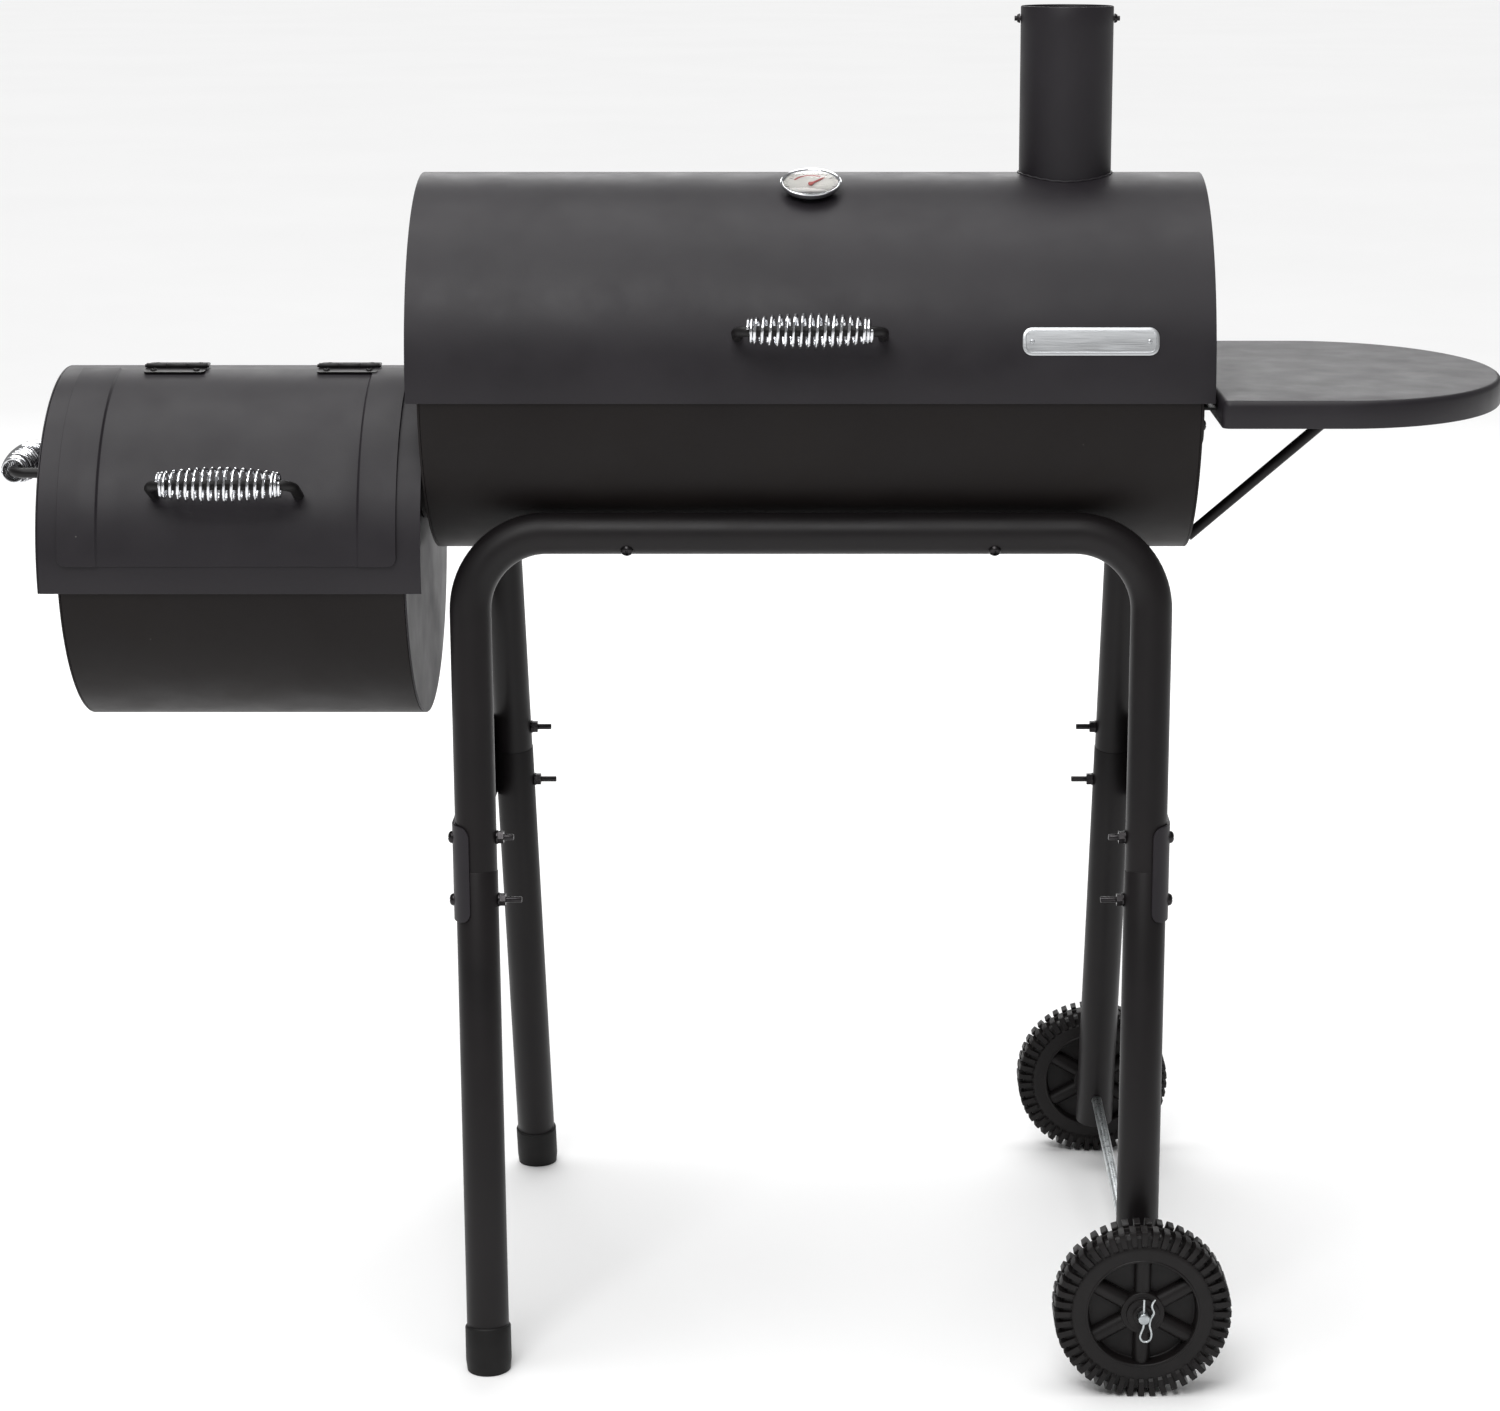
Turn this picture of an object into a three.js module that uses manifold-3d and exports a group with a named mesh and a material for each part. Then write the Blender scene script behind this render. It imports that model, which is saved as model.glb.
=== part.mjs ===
// Offset smoker: a barrel cooking chamber with a hinged lid and chimney, a firebox on its left end
// with a top door and an end door, a half-oval side shelf, and a tube stand with two wheels.
// Millimetres, +X to the right, +Y to the back, +Z up, origin on the ground under the box centre.
import * as THREE from "three";
import { mergeVertices } from "three/addons/utils/BufferGeometryUtils.js";
import Module from "manifold-3d";

const wasm = await Module();
wasm.setup();

// Driving dimensions
const gap = 0.3; // between solids that touch
const sheet = 1.5; // lid, hood and door steel
const plate = 2; // barrel and firebox steel
const overlap = 18; // how far a lid or hood reaches below the axis of its barrel
const originX = 58.1; // from the middle of the barrel to the middle of the whole object

const barrel = { radius: 183, half: 368, axisZ: 952, lip: 12, grateZ: 936, grateHalf: 168 };
const lid = { radius: 186, half: 381, rearLift: 4, hingeY: 190, hingeZ: 946, hingeX: 240 };
const chimney = { x: 248, radius: 45, topZ: 1298, damperZ: 1286 };
const gauge = { radius: 29.5, depth: 10, angle: 69, stem: 3, stemLength: 70, reading: -45 };
const firebox = { radius: 172, axisZ: 771, left: -718, right: -387, grateZ: 700, grateHalf: 140 };
const hood = { radius: 176, left: -737, right: -372, notchX: -384.5, notchZ: 925 };
const door = { left: -718, right: -395, low: 3, high: 83, hingeMiddle: -541, hingeX: 85, hingeAngle: 84 };
const doorHole = { left: -690, right: -425, low: 12, high: 72 };
const sideDoor = { halfWidth: 95, low: 767, high: 890, handleZ: 852, margin: 11, knuckleY: 60, tabY: 79 };
const throat = { z: 862, radius: 66, wall: 4 };
const vent = { pivotZ: 728, holeZ: 682, radius: 26, ear: 12, lap: 4 };
const handle = { half: 68.5, height: 38, rod: 5, bend: 12, coilHalf: 58.5, coilEnd: 12.5, coilMid: 17.6 };
const handleAngle = { lid: 15, door: 25 };
const shelf = { left: 384, tip: 680, straight: 500, half: 218, top: 945, skirt: 26 };
const strut = { footX: 377, footZ: 776, headX: 560, radius: 5.5 };
const tube = { radius: 20, wall: 1.5, bend: 75 };
const stand = { topY: 146.3, topZ: 806.8, topX: 328.7, footX: 315.6, splay: 9.13 };
const joint = { front: 466, rear: 491, insert: 50 };
const brace = { middleZ: 502, height: 92, wrap: 62 };
const wheel = { radius: 85, width: 40, y: 323.6, x: 317.3, hub: 20, rim: 52, legEnd: 54, legY: 262 };
const axle = { radius: 5.5, half: 352, pinY: 347.5 };
const cap = { height: 42, wall: 2, base: 6.5 };
const clear = 1e3; // a cutting tool that reaches well past what it cuts

const finishes = {
  paint: { color: 0x3a383a, roughness: 0.6, metalness: 0.3 },
  chrome: { color: 0xd8d8da, roughness: 0.15, metalness: 1 },
  zinc: { color: 0xb9bdc0, roughness: 0.35, metalness: 1 },
  plastic: { color: 0x1d1b1b, roughness: 0.55, metalness: 0 },
  enamel: { color: 0xe8e6de, roughness: 0.4, metalness: 0 },
  red: { color: 0xb02018, roughness: 0.5, metalness: 0 },
};

const radians = THREE.MathUtils.degToRad;
const object = new THREE.Group();
object.position.x = originX;

function add(name, geometry, finish, parent = object) {
  const mesh = new THREE.Mesh(geometry, new THREE.MeshStandardMaterial(finishes[finish]));
  mesh.name = name;
  parent.add(mesh);
  return mesh;
}

// Solids from closed geometry, joined or cut, and back to geometry
function solid(geometry) {
  const bare = geometry.clone();
  bare.deleteAttribute("normal");
  bare.deleteAttribute("uv");
  const merged = mergeVertices(bare, 1e-4);
  const vertProperties = merged.attributes.position.array;
  const triVerts = new Uint32Array(merged.index.array);
  return new wasm.Manifold(new wasm.Mesh({ numProp: 3, vertProperties, triVerts }));
}

function toGeometry(made) {
  const mesh = made.getMesh();
  const geometry = new THREE.BufferGeometry();
  geometry.setAttribute("position", new THREE.Float32BufferAttribute(mesh.vertProperties, 3));
  geometry.setIndex(Array.from(mesh.triVerts));
  geometry.computeVertexNormals();
  return geometry;
}

function cut(geometry, ...tools) {
  return toGeometry(tools.reduce((body, tool) => body.subtract(solid(tool)), solid(geometry)));
}

function join(geometry, ...others) {
  return toGeometry(others.reduce((body, other) => body.add(solid(other)), solid(geometry)));
}

// Extrusions: a shape drawn in (Y, Z) along X, or in (X, Y) along Z
function alongX(shape, from, to, curveSegments = 14) {
  const settings = { depth: to - from, bevelEnabled: false, curveSegments };
  const axes = new THREE.Matrix4().makeBasis(
    new THREE.Vector3(0, 1, 0),
    new THREE.Vector3(0, 0, 1),
    new THREE.Vector3(1, 0, 0),
  );
  return new THREE.ExtrudeGeometry(shape, settings).applyMatrix4(axes).translate(from, 0, 0);
}

function alongZ(shape, from, to, curveSegments = 12) {
  const settings = { depth: to - from, bevelEnabled: false, curveSegments };
  return new THREE.ExtrudeGeometry(shape, settings).translate(0, 0, from);
}

function box(x, y, z, width, depth, height) {
  return new THREE.BoxGeometry(width, depth, height).translate(x, y, z);
}

function rodAlong(axis, radius, length, sides = 12) {
  const geometry = new THREE.CylinderGeometry(radius, radius, length, sides);
  if (axis === "x") geometry.rotateZ(Math.PI / 2);
  if (axis === "z") geometry.rotateX(Math.PI / 2);
  return geometry;
}

// A closed ring of the profile [radius, height] turned about +Z
function turned(points, segments) {
  const profile = [...points, points[0]].map(([radius, height]) => new THREE.Vector2(radius, height));
  return new THREE.LatheGeometry(profile, segments).rotateX(Math.PI / 2);
}

function pipe(outer, inner, from, to, segments = 32) {
  return turned([[inner, from], [outer, from], [outer, to], [inner, to]], segments);
}

// Round sheet between two angles, in degrees from +Y, about the point (0, z)
function bentSheet(outer, thickness, from, to) {
  const inner = outer - thickness;
  const shape = new THREE.Shape();
  shape.absarc(0, 0, outer, radians(from), radians(to), false);
  shape.absarc(0, 0, inner, radians(to), radians(from), true);
  return shape;
}

function discBelow(radius, height) {
  const edge = Math.asin(height / radius);
  const shape = new THREE.Shape();
  shape.absarc(0, 0, radius, Math.PI - edge, 2 * Math.PI + edge, false);
  return shape;
}

// Barrel: half shell with inner lips, and its two end plates
function barrelShell() {
  const { radius, half, axisZ, lip } = barrel;
  const inner = radius - plate;
  const lipEnd = Math.asin(plate / inner);
  const shape = new THREE.Shape();
  shape.absarc(0, 0, radius, Math.PI, 2 * Math.PI, false);
  shape.lineTo(radius - lip, 0);
  shape.lineTo(radius - lip, -plate);
  shape.absarc(0, 0, inner, 2 * Math.PI - lipEnd, Math.PI + lipEnd, true);
  shape.lineTo(lip - radius, -plate);
  shape.lineTo(lip - radius, 0);
  add("barrel_shell", alongX(shape, -half, half).translate(0, 0, axisZ), "paint");
}

function throatHole() {
  return rodAlong("x", throat.radius - throat.wall, clear, 32).translate(-clear / 2, 0, throat.z);
}

function barrelEnd(name, side) {
  const inner = barrel.half + gap;
  const from = side < 0 ? -inner - plate : inner;
  let geometry = alongX(discBelow(barrel.radius, 0), from, from + plate).translate(0, 0, barrel.axisZ);
  if (side < 0) {
    geometry = cut(geometry, throatHole());
  }
  add(name, geometry, "paint");
}

// Grate: a plate with slots from front to back
function slottedGrate(name, from, to, halfDepth, z, slots) {
  const rim = 8;
  const bar = 6;
  const thick = 5;
  const slot = (to - from - 2 * rim - (slots - 1) * bar) / slots;
  const blank = box((from + to) / 2, 0, z, to - from, 2 * halfDepth, thick);
  const holes = Array.from({ length: slots }, (_, i) =>
    box(from + rim + slot / 2 + i * (slot + bar), 0, z, slot, 2 * (halfDepth - rim), clear),
  );
  add(name, cut(blank, ...holes), "chrome");
}

// Lid: shell with the flue hole, and end plates
function lidShell() {
  const { radius, half, rearLift } = lid;
  const rear = THREE.MathUtils.radToDeg(Math.asin(rearLift / radius));
  const front = 180 + THREE.MathUtils.radToDeg(Math.asin(overlap / radius));
  const end = half - sheet - gap;
  const shell = alongX(bentSheet(radius, sheet, rear, front), -end, end, 16).translate(0, 0, barrel.axisZ);
  const flue = rodAlong("z", chimney.radius - 2 * sheet, clear, 24);
  flue.translate(chimney.x, 0, barrel.axisZ + clear / 2);
  const stem = rodAlong("z", gauge.stem + 2, 2 * gauge.stemLength, 8).translate(0, 0, radius);
  stem.rotateX(radians(90 - gauge.angle)).translate(0, 0, barrel.axisZ);
  add("lid_shell", cut(shell, flue, stem), "paint");
}

function lidEnd(name, side) {
  const { radius, half, rearLift } = lid;
  const rearCorner = 24; // the rear lower corner is cut away, so that it clears the hinge as it swings
  const shape = new THREE.Shape();
  const rear = Math.asin(rearLift / radius);
  const front = Math.PI + Math.asin(overlap / radius);
  shape.absarc(0, 0, radius, rear, front, false);
  shape.lineTo(radius - rearCorner, -overlap);
  const from = side < 0 ? -half : half - sheet;
  add(name, alongX(shape, from, from + sheet).translate(0, 0, barrel.axisZ), "paint");
}

// A frame whose +Z stands out of a round sheet at an angle above the front
function frameOnRound(radius, axisZ, degrees, x) {
  const frame = new THREE.Group();
  const angle = radians(degrees);
  frame.position.set(x, -radius * Math.cos(angle), axisZ + radius * Math.sin(angle));
  frame.rotation.x = Math.PI / 2 - angle;
  object.add(frame);
  return frame;
}

// Hinge: two leaves with knuckles about a pin along X, in the frame of the given parent
const hinge = { half: 30, split: 10.2, knuckle: 2.6, bore: 1.9, pin: 1.6, leaf: 1.2, reach: 20 };

function hingeLeaf(name, parent, x, side, knuckles) {
  const { knuckle, bore, leaf, reach } = hinge;
  const from = side > 0 ? knuckle * 0.6 : -reach;
  const to = side > 0 ? reach : -knuckle * 0.6;
  const flap = box(x, (from + to) / 2, leaf / 2 - knuckle, 2 * hinge.half, to - from, leaf);
  const roll = ([a, b], radius, spare) =>
    rodAlong("x", radius, b - a + 2 * spare).translate(x + (a + b) / 2, 0, 0);
  const notches = knuckles.others.map((span) => roll(span, knuckle + 0.5, 0.4));
  const rolls = knuckles.own.map((span) => roll(span, knuckle, 0));
  const bored = rodAlong("x", bore, clear).translate(x, 0, 0);
  add(name, cut(join(cut(flap, ...notches), ...rolls), bored), "paint", parent);
}

function hingePair(names, parent, x) {
  const { half, split, pin } = hinge;
  const outer = [[-half, -split - gap / 2], [split + gap / 2, half]];
  const middle = [[-split + gap / 2, split - gap / 2]];
  hingeLeaf(names.fixed, parent, x, 1, { own: outer, others: middle });
  hingeLeaf(names.moving, parent, x, -1, { own: middle, others: outer });
  add(names.pin, rodAlong("x", pin, 2 * half + 3).translate(x, 0, 0), "zinc", parent);
}

function lidHinges() {
  const frame = new THREE.Group();
  frame.position.set(0, lid.hingeY, lid.hingeZ);
  frame.rotation.x = -Math.PI / 2; // the leaves stand up, the fixed one below the pin
  object.add(frame);
  for (const [side, word] of [[-1, "left"], [1, "right"]]) {
    const names = { fixed: `barrel_hinge_${word}`, moving: `lid_hinge_${word}`, pin: `lid_pin_${word}` };
    hingePair(names, frame, side * lid.hingeX);
  }
}

function doorHinges() {
  const reach = hood.radius + gap + sheet + gap + hinge.knuckle;
  const frame = frameOnRound(reach, firebox.axisZ, door.hingeAngle, 0);
  for (const [side, word] of [[-1, "left"], [1, "right"]]) {
    const names = { fixed: `hood_hinge_${word}`, moving: `door_hinge_${word}`, pin: `door_pin_${word}` };
    hingePair(names, frame, door.hingeMiddle + side * door.hingeX);
  }
}

// A path of straight and bent pieces, each with the steps it needs
class PiecePath extends THREE.Curve {
  constructor(pieces) {
    super();
    this.pieces = pieces;
    this.steps = pieces.reduce((sum, piece) => sum + piece.steps, 0);
  }

  getPoint(t) {
    let left = t * this.steps;
    for (const { curve, steps } of this.pieces) {
      if (left <= steps) return curve.getPoint(left / steps);
      left -= steps;
    }
    return this.pieces.at(-1).curve.getPoint(1);
  }

  getUtoTmapping(u) {
    return u;
  }
}

// From one foot up, round a bend, across, round a second bend and down to the other foot
function archPath(feet, below, corners, inside) {
  const round = 0.552; // how far a quarter circle's handles reach towards its corner
  const bent = (from, at, to) =>
    new THREE.CubicBezierCurve3(from, from.clone().lerp(at, round), to.clone().lerp(at, round), to);
  return new PiecePath([
    { curve: new THREE.LineCurve3(feet[0], below[0]), steps: 1 },
    { curve: bent(below[0], corners[0], inside[0]), steps: 5 },
    { curve: new THREE.LineCurve3(inside[0], inside[1]), steps: 1 },
    { curve: bent(inside[1], corners[1], below[1]), steps: 5 },
    { curve: new THREE.LineCurve3(below[1], feet[1]), steps: 1 },
  ]);
}

function tubeAlong(path, outer, inner, steps, sides) {
  const section = new THREE.Shape();
  section.absarc(0, 0, outer, 0, 2 * Math.PI, false);
  if (inner > 0) {
    const hole = new THREE.Path();
    hole.absarc(0, 0, inner, 0, 2 * Math.PI, true);
    section.holes.push(hole);
  }
  const settings = { steps, curveSegments: sides / 2, extrudePath: path, bevelEnabled: false };
  return new THREE.ExtrudeGeometry(section, settings);
}

// Handle: a bent rod on two legs and the coil grip round it, standing on the plane z = 0
function bentRod() {
  const { half, height, bend } = handle;
  const pair = (x, z) => [-1, 1].map((side) => new THREE.Vector3(side * x, 0, z));
  const corners = pair(half, height);
  return archPath(pair(half, gap), pair(half, height - bend), corners, pair(half - bend, height));
}

function coilHandle(name, frame) {
  const { height, rod, coilHalf, coilEnd, coilMid } = handle;
  const path = bentRod();
  add(`${name}_handle_rod`, tubeAlong(path, rod, 0, path.steps, 8), "paint", frame);
  const bore = rod + 1;
  const shoulder = (coilEnd + 2 * coilMid) / 3;
  const profile = [
    [bore, -coilHalf],
    [coilEnd, -coilHalf],
    [shoulder, -coilHalf / 2],
    [coilMid, 0],
    [shoulder, coilHalf / 2],
    [coilEnd, coilHalf],
    [bore, coilHalf],
  ];
  const grip = turned(profile, 16).rotateY(Math.PI / 2).translate(0, 0, height);
  add(`${name}_handle_coil`, grip, "chrome", frame);
}

// Thermometer: case with its stem, dial and needle
function thermometer() {
  const { radius, depth, stem, stemLength } = gauge;
  const frame = frameOnRound(lid.radius, barrel.axisZ, gauge.angle, 0);
  const bezel = 3;
  const sunk = 4;
  const profile = [
    [0, -stemLength],
    [stem, -stemLength],
    [stem, gap],
    [radius - bezel, gap],
    [radius, bezel],
    [radius, depth],
    [radius - bezel, depth],
    [radius - bezel, depth - sunk],
    [0, depth - sunk],
  ];
  const outline = profile.map(([r, z]) => new THREE.Vector2(r, z));
  add("gauge_case", new THREE.LatheGeometry(outline, 24).rotateX(Math.PI / 2), "chrome", frame);
  const dial = rodAlong("z", radius - bezel - 2 * gap, 0.6, 24).translate(0, 0, depth - sunk + 2 * gap);
  add("gauge_dial", dial, "enamel", frame);
  const hand = new THREE.Shape();
  hand.moveTo(-2, -6);
  hand.lineTo(2, -6);
  hand.lineTo(1.2, 14);
  hand.lineTo(0, 18);
  hand.lineTo(-1.2, 14);
  const needle = alongZ(hand, depth - sunk / 2 - 2 * gap, depth - sunk / 2);
  add("gauge_needle", needle.rotateZ(radians(gauge.reading)), "red", frame);
}

// Chimney: saddle-cut pipe with holes for the damper rod
function chimneyPipe() {
  const { x, radius, topZ, damperZ } = chimney;
  const rod = 3;
  const ring = pipe(radius, radius - sheet, barrel.axisZ + lid.radius - 20, topZ, 32).translate(x, 0, 0);
  const saddle = rodAlong("x", lid.radius + gap, clear, 64).translate(x, 0, barrel.axisZ);
  const rodHole = rodAlong("x", rod + 2 * gap, clear, 12).translate(x, 0, damperZ);
  add("chimney", cut(ring, saddle, rodHole), "paint");
  add("damper_rod", rodAlong("x", rod, 2 * radius + 12, 12).translate(x, 0, damperZ), "zinc");
  const flap = rodAlong("z", radius - sheet - 2, sheet, 24);
  flap.translate(x, 0, damperZ + rod + gap + sheet / 2);
  add("damper_plate", flap, "paint");
}

// Firebox: lower shell, end plates, hood with its door hole, and the throat to the barrel
function fireboxParts() {
  const { radius, axisZ, left, right } = firebox;
  const shell = bentSheet(radius, plate, 180, 360);
  add("firebox_shell", alongX(shell, left, right - plate - gap).translate(0, 0, axisZ), "paint");
  const disc = new THREE.Shape();
  disc.absarc(0, 0, radius, 0, 2 * Math.PI, false);
  const endPlate = alongX(disc, right - plate, right, 24).translate(0, 0, axisZ);
  add("firebox_end_right", cut(endPlate, throatHole()), "paint");
  const outer = left - gap - plate;
  const lower = alongX(discBelow(radius, 0), outer, outer + plate).translate(0, 0, axisZ);
  const ventHole = rodAlong("x", vent.radius - vent.lap, 40, 20).translate(outer, 0, vent.holeZ);
  add("firebox_end_left", cut(lower, ventHole), "paint");
  const far = -barrel.half - plate - 2 * gap;
  const collar = pipe(throat.radius, throat.radius - throat.wall, right + gap, far, 32);
  add("throat_collar", collar.rotateY(Math.PI / 2).translate(0, 0, throat.z), "paint");
}

function ventShutter() {
  const { pivotZ, holeZ, radius, ear } = vent;
  const face = firebox.left - gap - plate - gap;
  const shape = new THREE.Shape();
  shape.absarc(0, holeZ, radius, Math.PI, 2 * Math.PI, false);
  shape.absarc(0, pivotZ, ear, 0, Math.PI, false);
  add("vent_shutter", alongX(shape, face - sheet, face, 12), "paint");
}

function hoodParts() {
  const { radius, left, right, notchX, notchZ } = hood;
  const dip = THREE.MathUtils.radToDeg(Math.asin(overlap / radius));
  const shell = alongX(bentSheet(radius, sheet, -dip, 180 + dip), left, right, 16);
  const opening = bentSheet(radius + 10, 30, 180 - doorHole.high, 180 - doorHole.low);
  const hole = alongX(opening, doorHole.left, doorHole.right);
  const notch = box(notchX + clear / 2, 0, notchZ - firebox.axisZ + clear / 2, clear, clear, clear);
  add("firebox_hood", cut(shell, hole, notch).translate(0, 0, firebox.axisZ), "paint");
}

function hoodEnd() {
  const { halfWidth, low, high, margin, tabY } = sideDoor;
  const edge = Math.asin(overlap / hood.radius);
  const shape = new THREE.Shape();
  shape.absarc(0, 0, hood.radius, -edge, Math.PI + edge, false);
  const outer = hood.left - gap;
  const plateSolid = alongX(shape, outer - sheet, outer, 16).translate(0, 0, firebox.axisZ);
  const hole = box(outer, 0, (low + high) / 2, 20, 2 * (halfWidth - margin), high - low - 2 * margin);
  const knuckles = [-1, 1].map((side) => sideKnuckle(side * tabY, 14, true));
  add("hood_end_left", cut(join(cut(plateSolid, hole), ...knuckles), sidePinHole()), "paint");
}

// End door of the hood: it hangs on a pin along its lower edge
const sideHinge = { x: hood.left - gap - sheet - gap - 3.8, z: 758, knuckle: 3.4, pin: 1.6 };

function sideKnuckle(y, length, fixed) {
  const roll = rodAlong("y", sideHinge.knuckle, length, 12).translate(sideHinge.x, y, sideHinge.z);
  const face = hood.left - gap - sheet;
  const tab = fixed
    ? box((sideHinge.x + face + 0.5) / 2, y, sideHinge.z, face + 0.5 - sideHinge.x, length, 3)
    : box(face - gap - sheet / 2, y, (sideHinge.z + sideDoor.low) / 2 + 1, sheet, length, 12);
  return toGeometry(solid(roll).add(solid(tab)));
}

function sidePinHole() {
  return rodAlong("y", sideHinge.pin + 0.3, 300, 12).translate(sideHinge.x, 0, sideHinge.z);
}

function sideDoorParts() {
  const { halfWidth, low, high, handleZ, knuckleY, tabY } = sideDoor;
  const face = hood.left - gap - sheet - gap;
  const panel = box(face - sheet / 2, 0, (low + high) / 2, sheet, 2 * halfWidth, high - low);
  const knuckles = [-1, 1].map((side) => sideKnuckle(side * knuckleY, 22, false));
  add("side_door", cut(join(panel, ...knuckles), sidePinHole()), "paint");
  const pin = rodAlong("y", sideHinge.pin, 2 * tabY + 18, 12).translate(sideHinge.x, 0, sideHinge.z);
  add("side_door_pin", pin, "zinc");
  const frame = new THREE.Group();
  const axes = new THREE.Matrix4().makeBasis(
    new THREE.Vector3(0, 1, 0),
    new THREE.Vector3(0, 0, -1),
    new THREE.Vector3(-1, 0, 0),
  );
  frame.setRotationFromMatrix(axes);
  frame.position.set(face - sheet, 0, handleZ);
  object.add(frame);
  coilHandle("side", frame);
}

function doorParts() {
  const { left, right, low, high } = door;
  const outer = hood.radius + gap + sheet;
  const panel = alongX(bentSheet(outer, sheet, 180 - high, 180 - low), left, right, 12);
  add("door_panel", panel.translate(0, 0, firebox.axisZ), "paint");
  coilHandle("door", frameOnRound(outer, firebox.axisZ, handleAngle.door, (left + right) / 2));
}

// Shelf: half-oval tray turned upside down, and its strut
function ovalShape(inset) {
  const { left, tip, straight, half } = shelf;
  const shape = new THREE.Shape();
  shape.moveTo(left + inset, inset - half);
  shape.lineTo(straight, inset - half);
  shape.absellipse(straight, 0, tip - straight - inset, half - inset, -Math.PI / 2, Math.PI / 2, false);
  shape.lineTo(left + inset, half - inset);
  return shape;
}

function shelfParts() {
  const { top, skirt } = shelf;
  const tray = alongZ(ovalShape(0), top - skirt, top, 20);
  add("shelf_tray", cut(tray, alongZ(ovalShape(sheet), top - skirt - 5, top - sheet, 20)), "paint");
  const foot = new THREE.Vector3(strut.footX, 0, strut.footZ);
  const head = new THREE.Vector3(strut.headX, 0, top - sheet - 1.6 * strut.radius);
  const middle = foot.clone().lerp(head, 0.5);
  const lean = Math.atan2(head.x - foot.x, head.z - foot.z);
  const bar = rodAlong("z", strut.radius, foot.distanceTo(head), 8).rotateY(lean);
  add("shelf_strut", bar.translate(middle.x, middle.y, middle.z), "paint");
}

// Stand: a point on a leg line at a height, for the front (-1) or rear (1) and left (-1) or right (1)
function legPoint(end, side, z) {
  const { topY, topZ, topX, footX, splay } = stand;
  const y = topY + Math.tan(radians(splay)) * (topZ - z);
  const x = footX + ((topX - footX) * z) / topZ;
  return new THREE.Vector3(side * x, end * y, z);
}

function upperFrame(name, end, lowZ) {
  const pair = (z) => [-1, 1].map((side) => legPoint(end, side, z));
  const corners = pair(stand.topZ);
  const inside = corners.map((corner) => corner.clone().setX(corner.x - Math.sign(corner.x) * tube.bend));
  const path = archPath(pair(lowZ), pair(stand.topZ - tube.bend), corners, inside);
  add(name, tubeAlong(path, tube.radius, tube.radius - tube.wall, path.steps, 12), "paint");
}

function lowerLeg(name, end, side, topZ, bottomZ) {
  const top = legPoint(end, side, topZ);
  const bottom = legPoint(end, side, bottomZ);
  const length = top.distanceTo(bottom);
  const sides = 16;
  const socket = (tube.radius + gap) / Math.cos(Math.PI / sides);
  const swell = 4; // the length over which the leg widens to its socket
  const neck = length - joint.insert - 2 * swell;
  const profile = [
    [tube.radius - tube.wall, 0],
    [tube.radius, 0],
    [tube.radius, neck],
    [socket + tube.wall, neck + swell],
    [socket + tube.wall, length],
    [socket, length],
    [socket, neck + swell],
    [tube.radius - tube.wall, neck],
  ];
  const up = new THREE.Vector3(0, 0, 1);
  const lean = new THREE.Quaternion().setFromUnitVectors(up, top.clone().sub(bottom).normalize());
  const geometry = turned(profile, sides).applyQuaternion(lean).translate(bottom.x, bottom.y, bottom.z);
  if (side < 0) {
    add(name, geometry, "paint");
    return;
  }
  const hole = rodAlong("y", axle.radius + gap, 100, 12).translate(wheel.x, end * wheel.legY, wheel.radius);
  add(name, cut(geometry, hole), "paint");
}

function footCap(name, end) {
  const foot = legPoint(end, -1, 0);
  const top = legPoint(end, -1, cap.height);
  const up = new THREE.Vector3(0, 0, 1);
  const lean = new THREE.Quaternion().setFromUnitVectors(up, top.clone().sub(foot).normalize());
  const inner = tube.radius + gap;
  const outer = inner + cap.wall;
  const spare = -2 * cap.wall * 2; // reaches below the ground, where the sole is then cut level
  const outline = [
    [0, spare],
    [outer, spare],
    [outer, cap.height],
    [inner, cap.height],
    [inner, cap.base],
    [0, cap.base],
  ];
  const profile = outline.map(([radius, height]) => new THREE.Vector2(radius, height));
  const cup = new THREE.LatheGeometry(profile, 20).rotateX(Math.PI / 2).applyQuaternion(lean);
  cup.translate(foot.x, foot.y, 0);
  add(name, cut(cup, box(0, 0, -clear / 2, clear, clear, clear)), "plastic");
}

// Side brace: a strip along the outside of two legs, wrapped round them and leaning with them
function sideBrace(name, side) {
  const { middleZ, height, wrap } = brace;
  const leg = legPoint(1, 1, middleZ);
  const inner = tube.radius + tube.wall + 4 * gap;
  const outer = inner + plate;
  const turn = radians(wrap);
  const shape = new THREE.Shape();
  shape.absarc(leg.x, -leg.y, outer, -turn, 0, false);
  shape.absarc(leg.x, leg.y, outer, 0, turn, false);
  shape.absarc(leg.x, leg.y, inner, turn, 0, true);
  shape.absarc(leg.x, -leg.y, inner, 0, -turn, true);
  const geometry = alongZ(shape, -height / 2, height / 2, 8);
  const leanY = Math.tan(radians(stand.splay));
  const leanX = (stand.topX - stand.footX) / stand.topZ;
  const spots = geometry.attributes.position;
  for (let i = 0; i < spots.count; i++) {
    const z = spots.getZ(i);
    spots.setX(i, spots.getX(i) + leanX * z);
    spots.setY(i, spots.getY(i) - Math.sign(spots.getY(i)) * leanY * z);
  }
  if (side < 0) geometry.rotateZ(Math.PI);
  add(name, geometry.translate(0, 0, middleZ), "paint");
}

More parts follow.
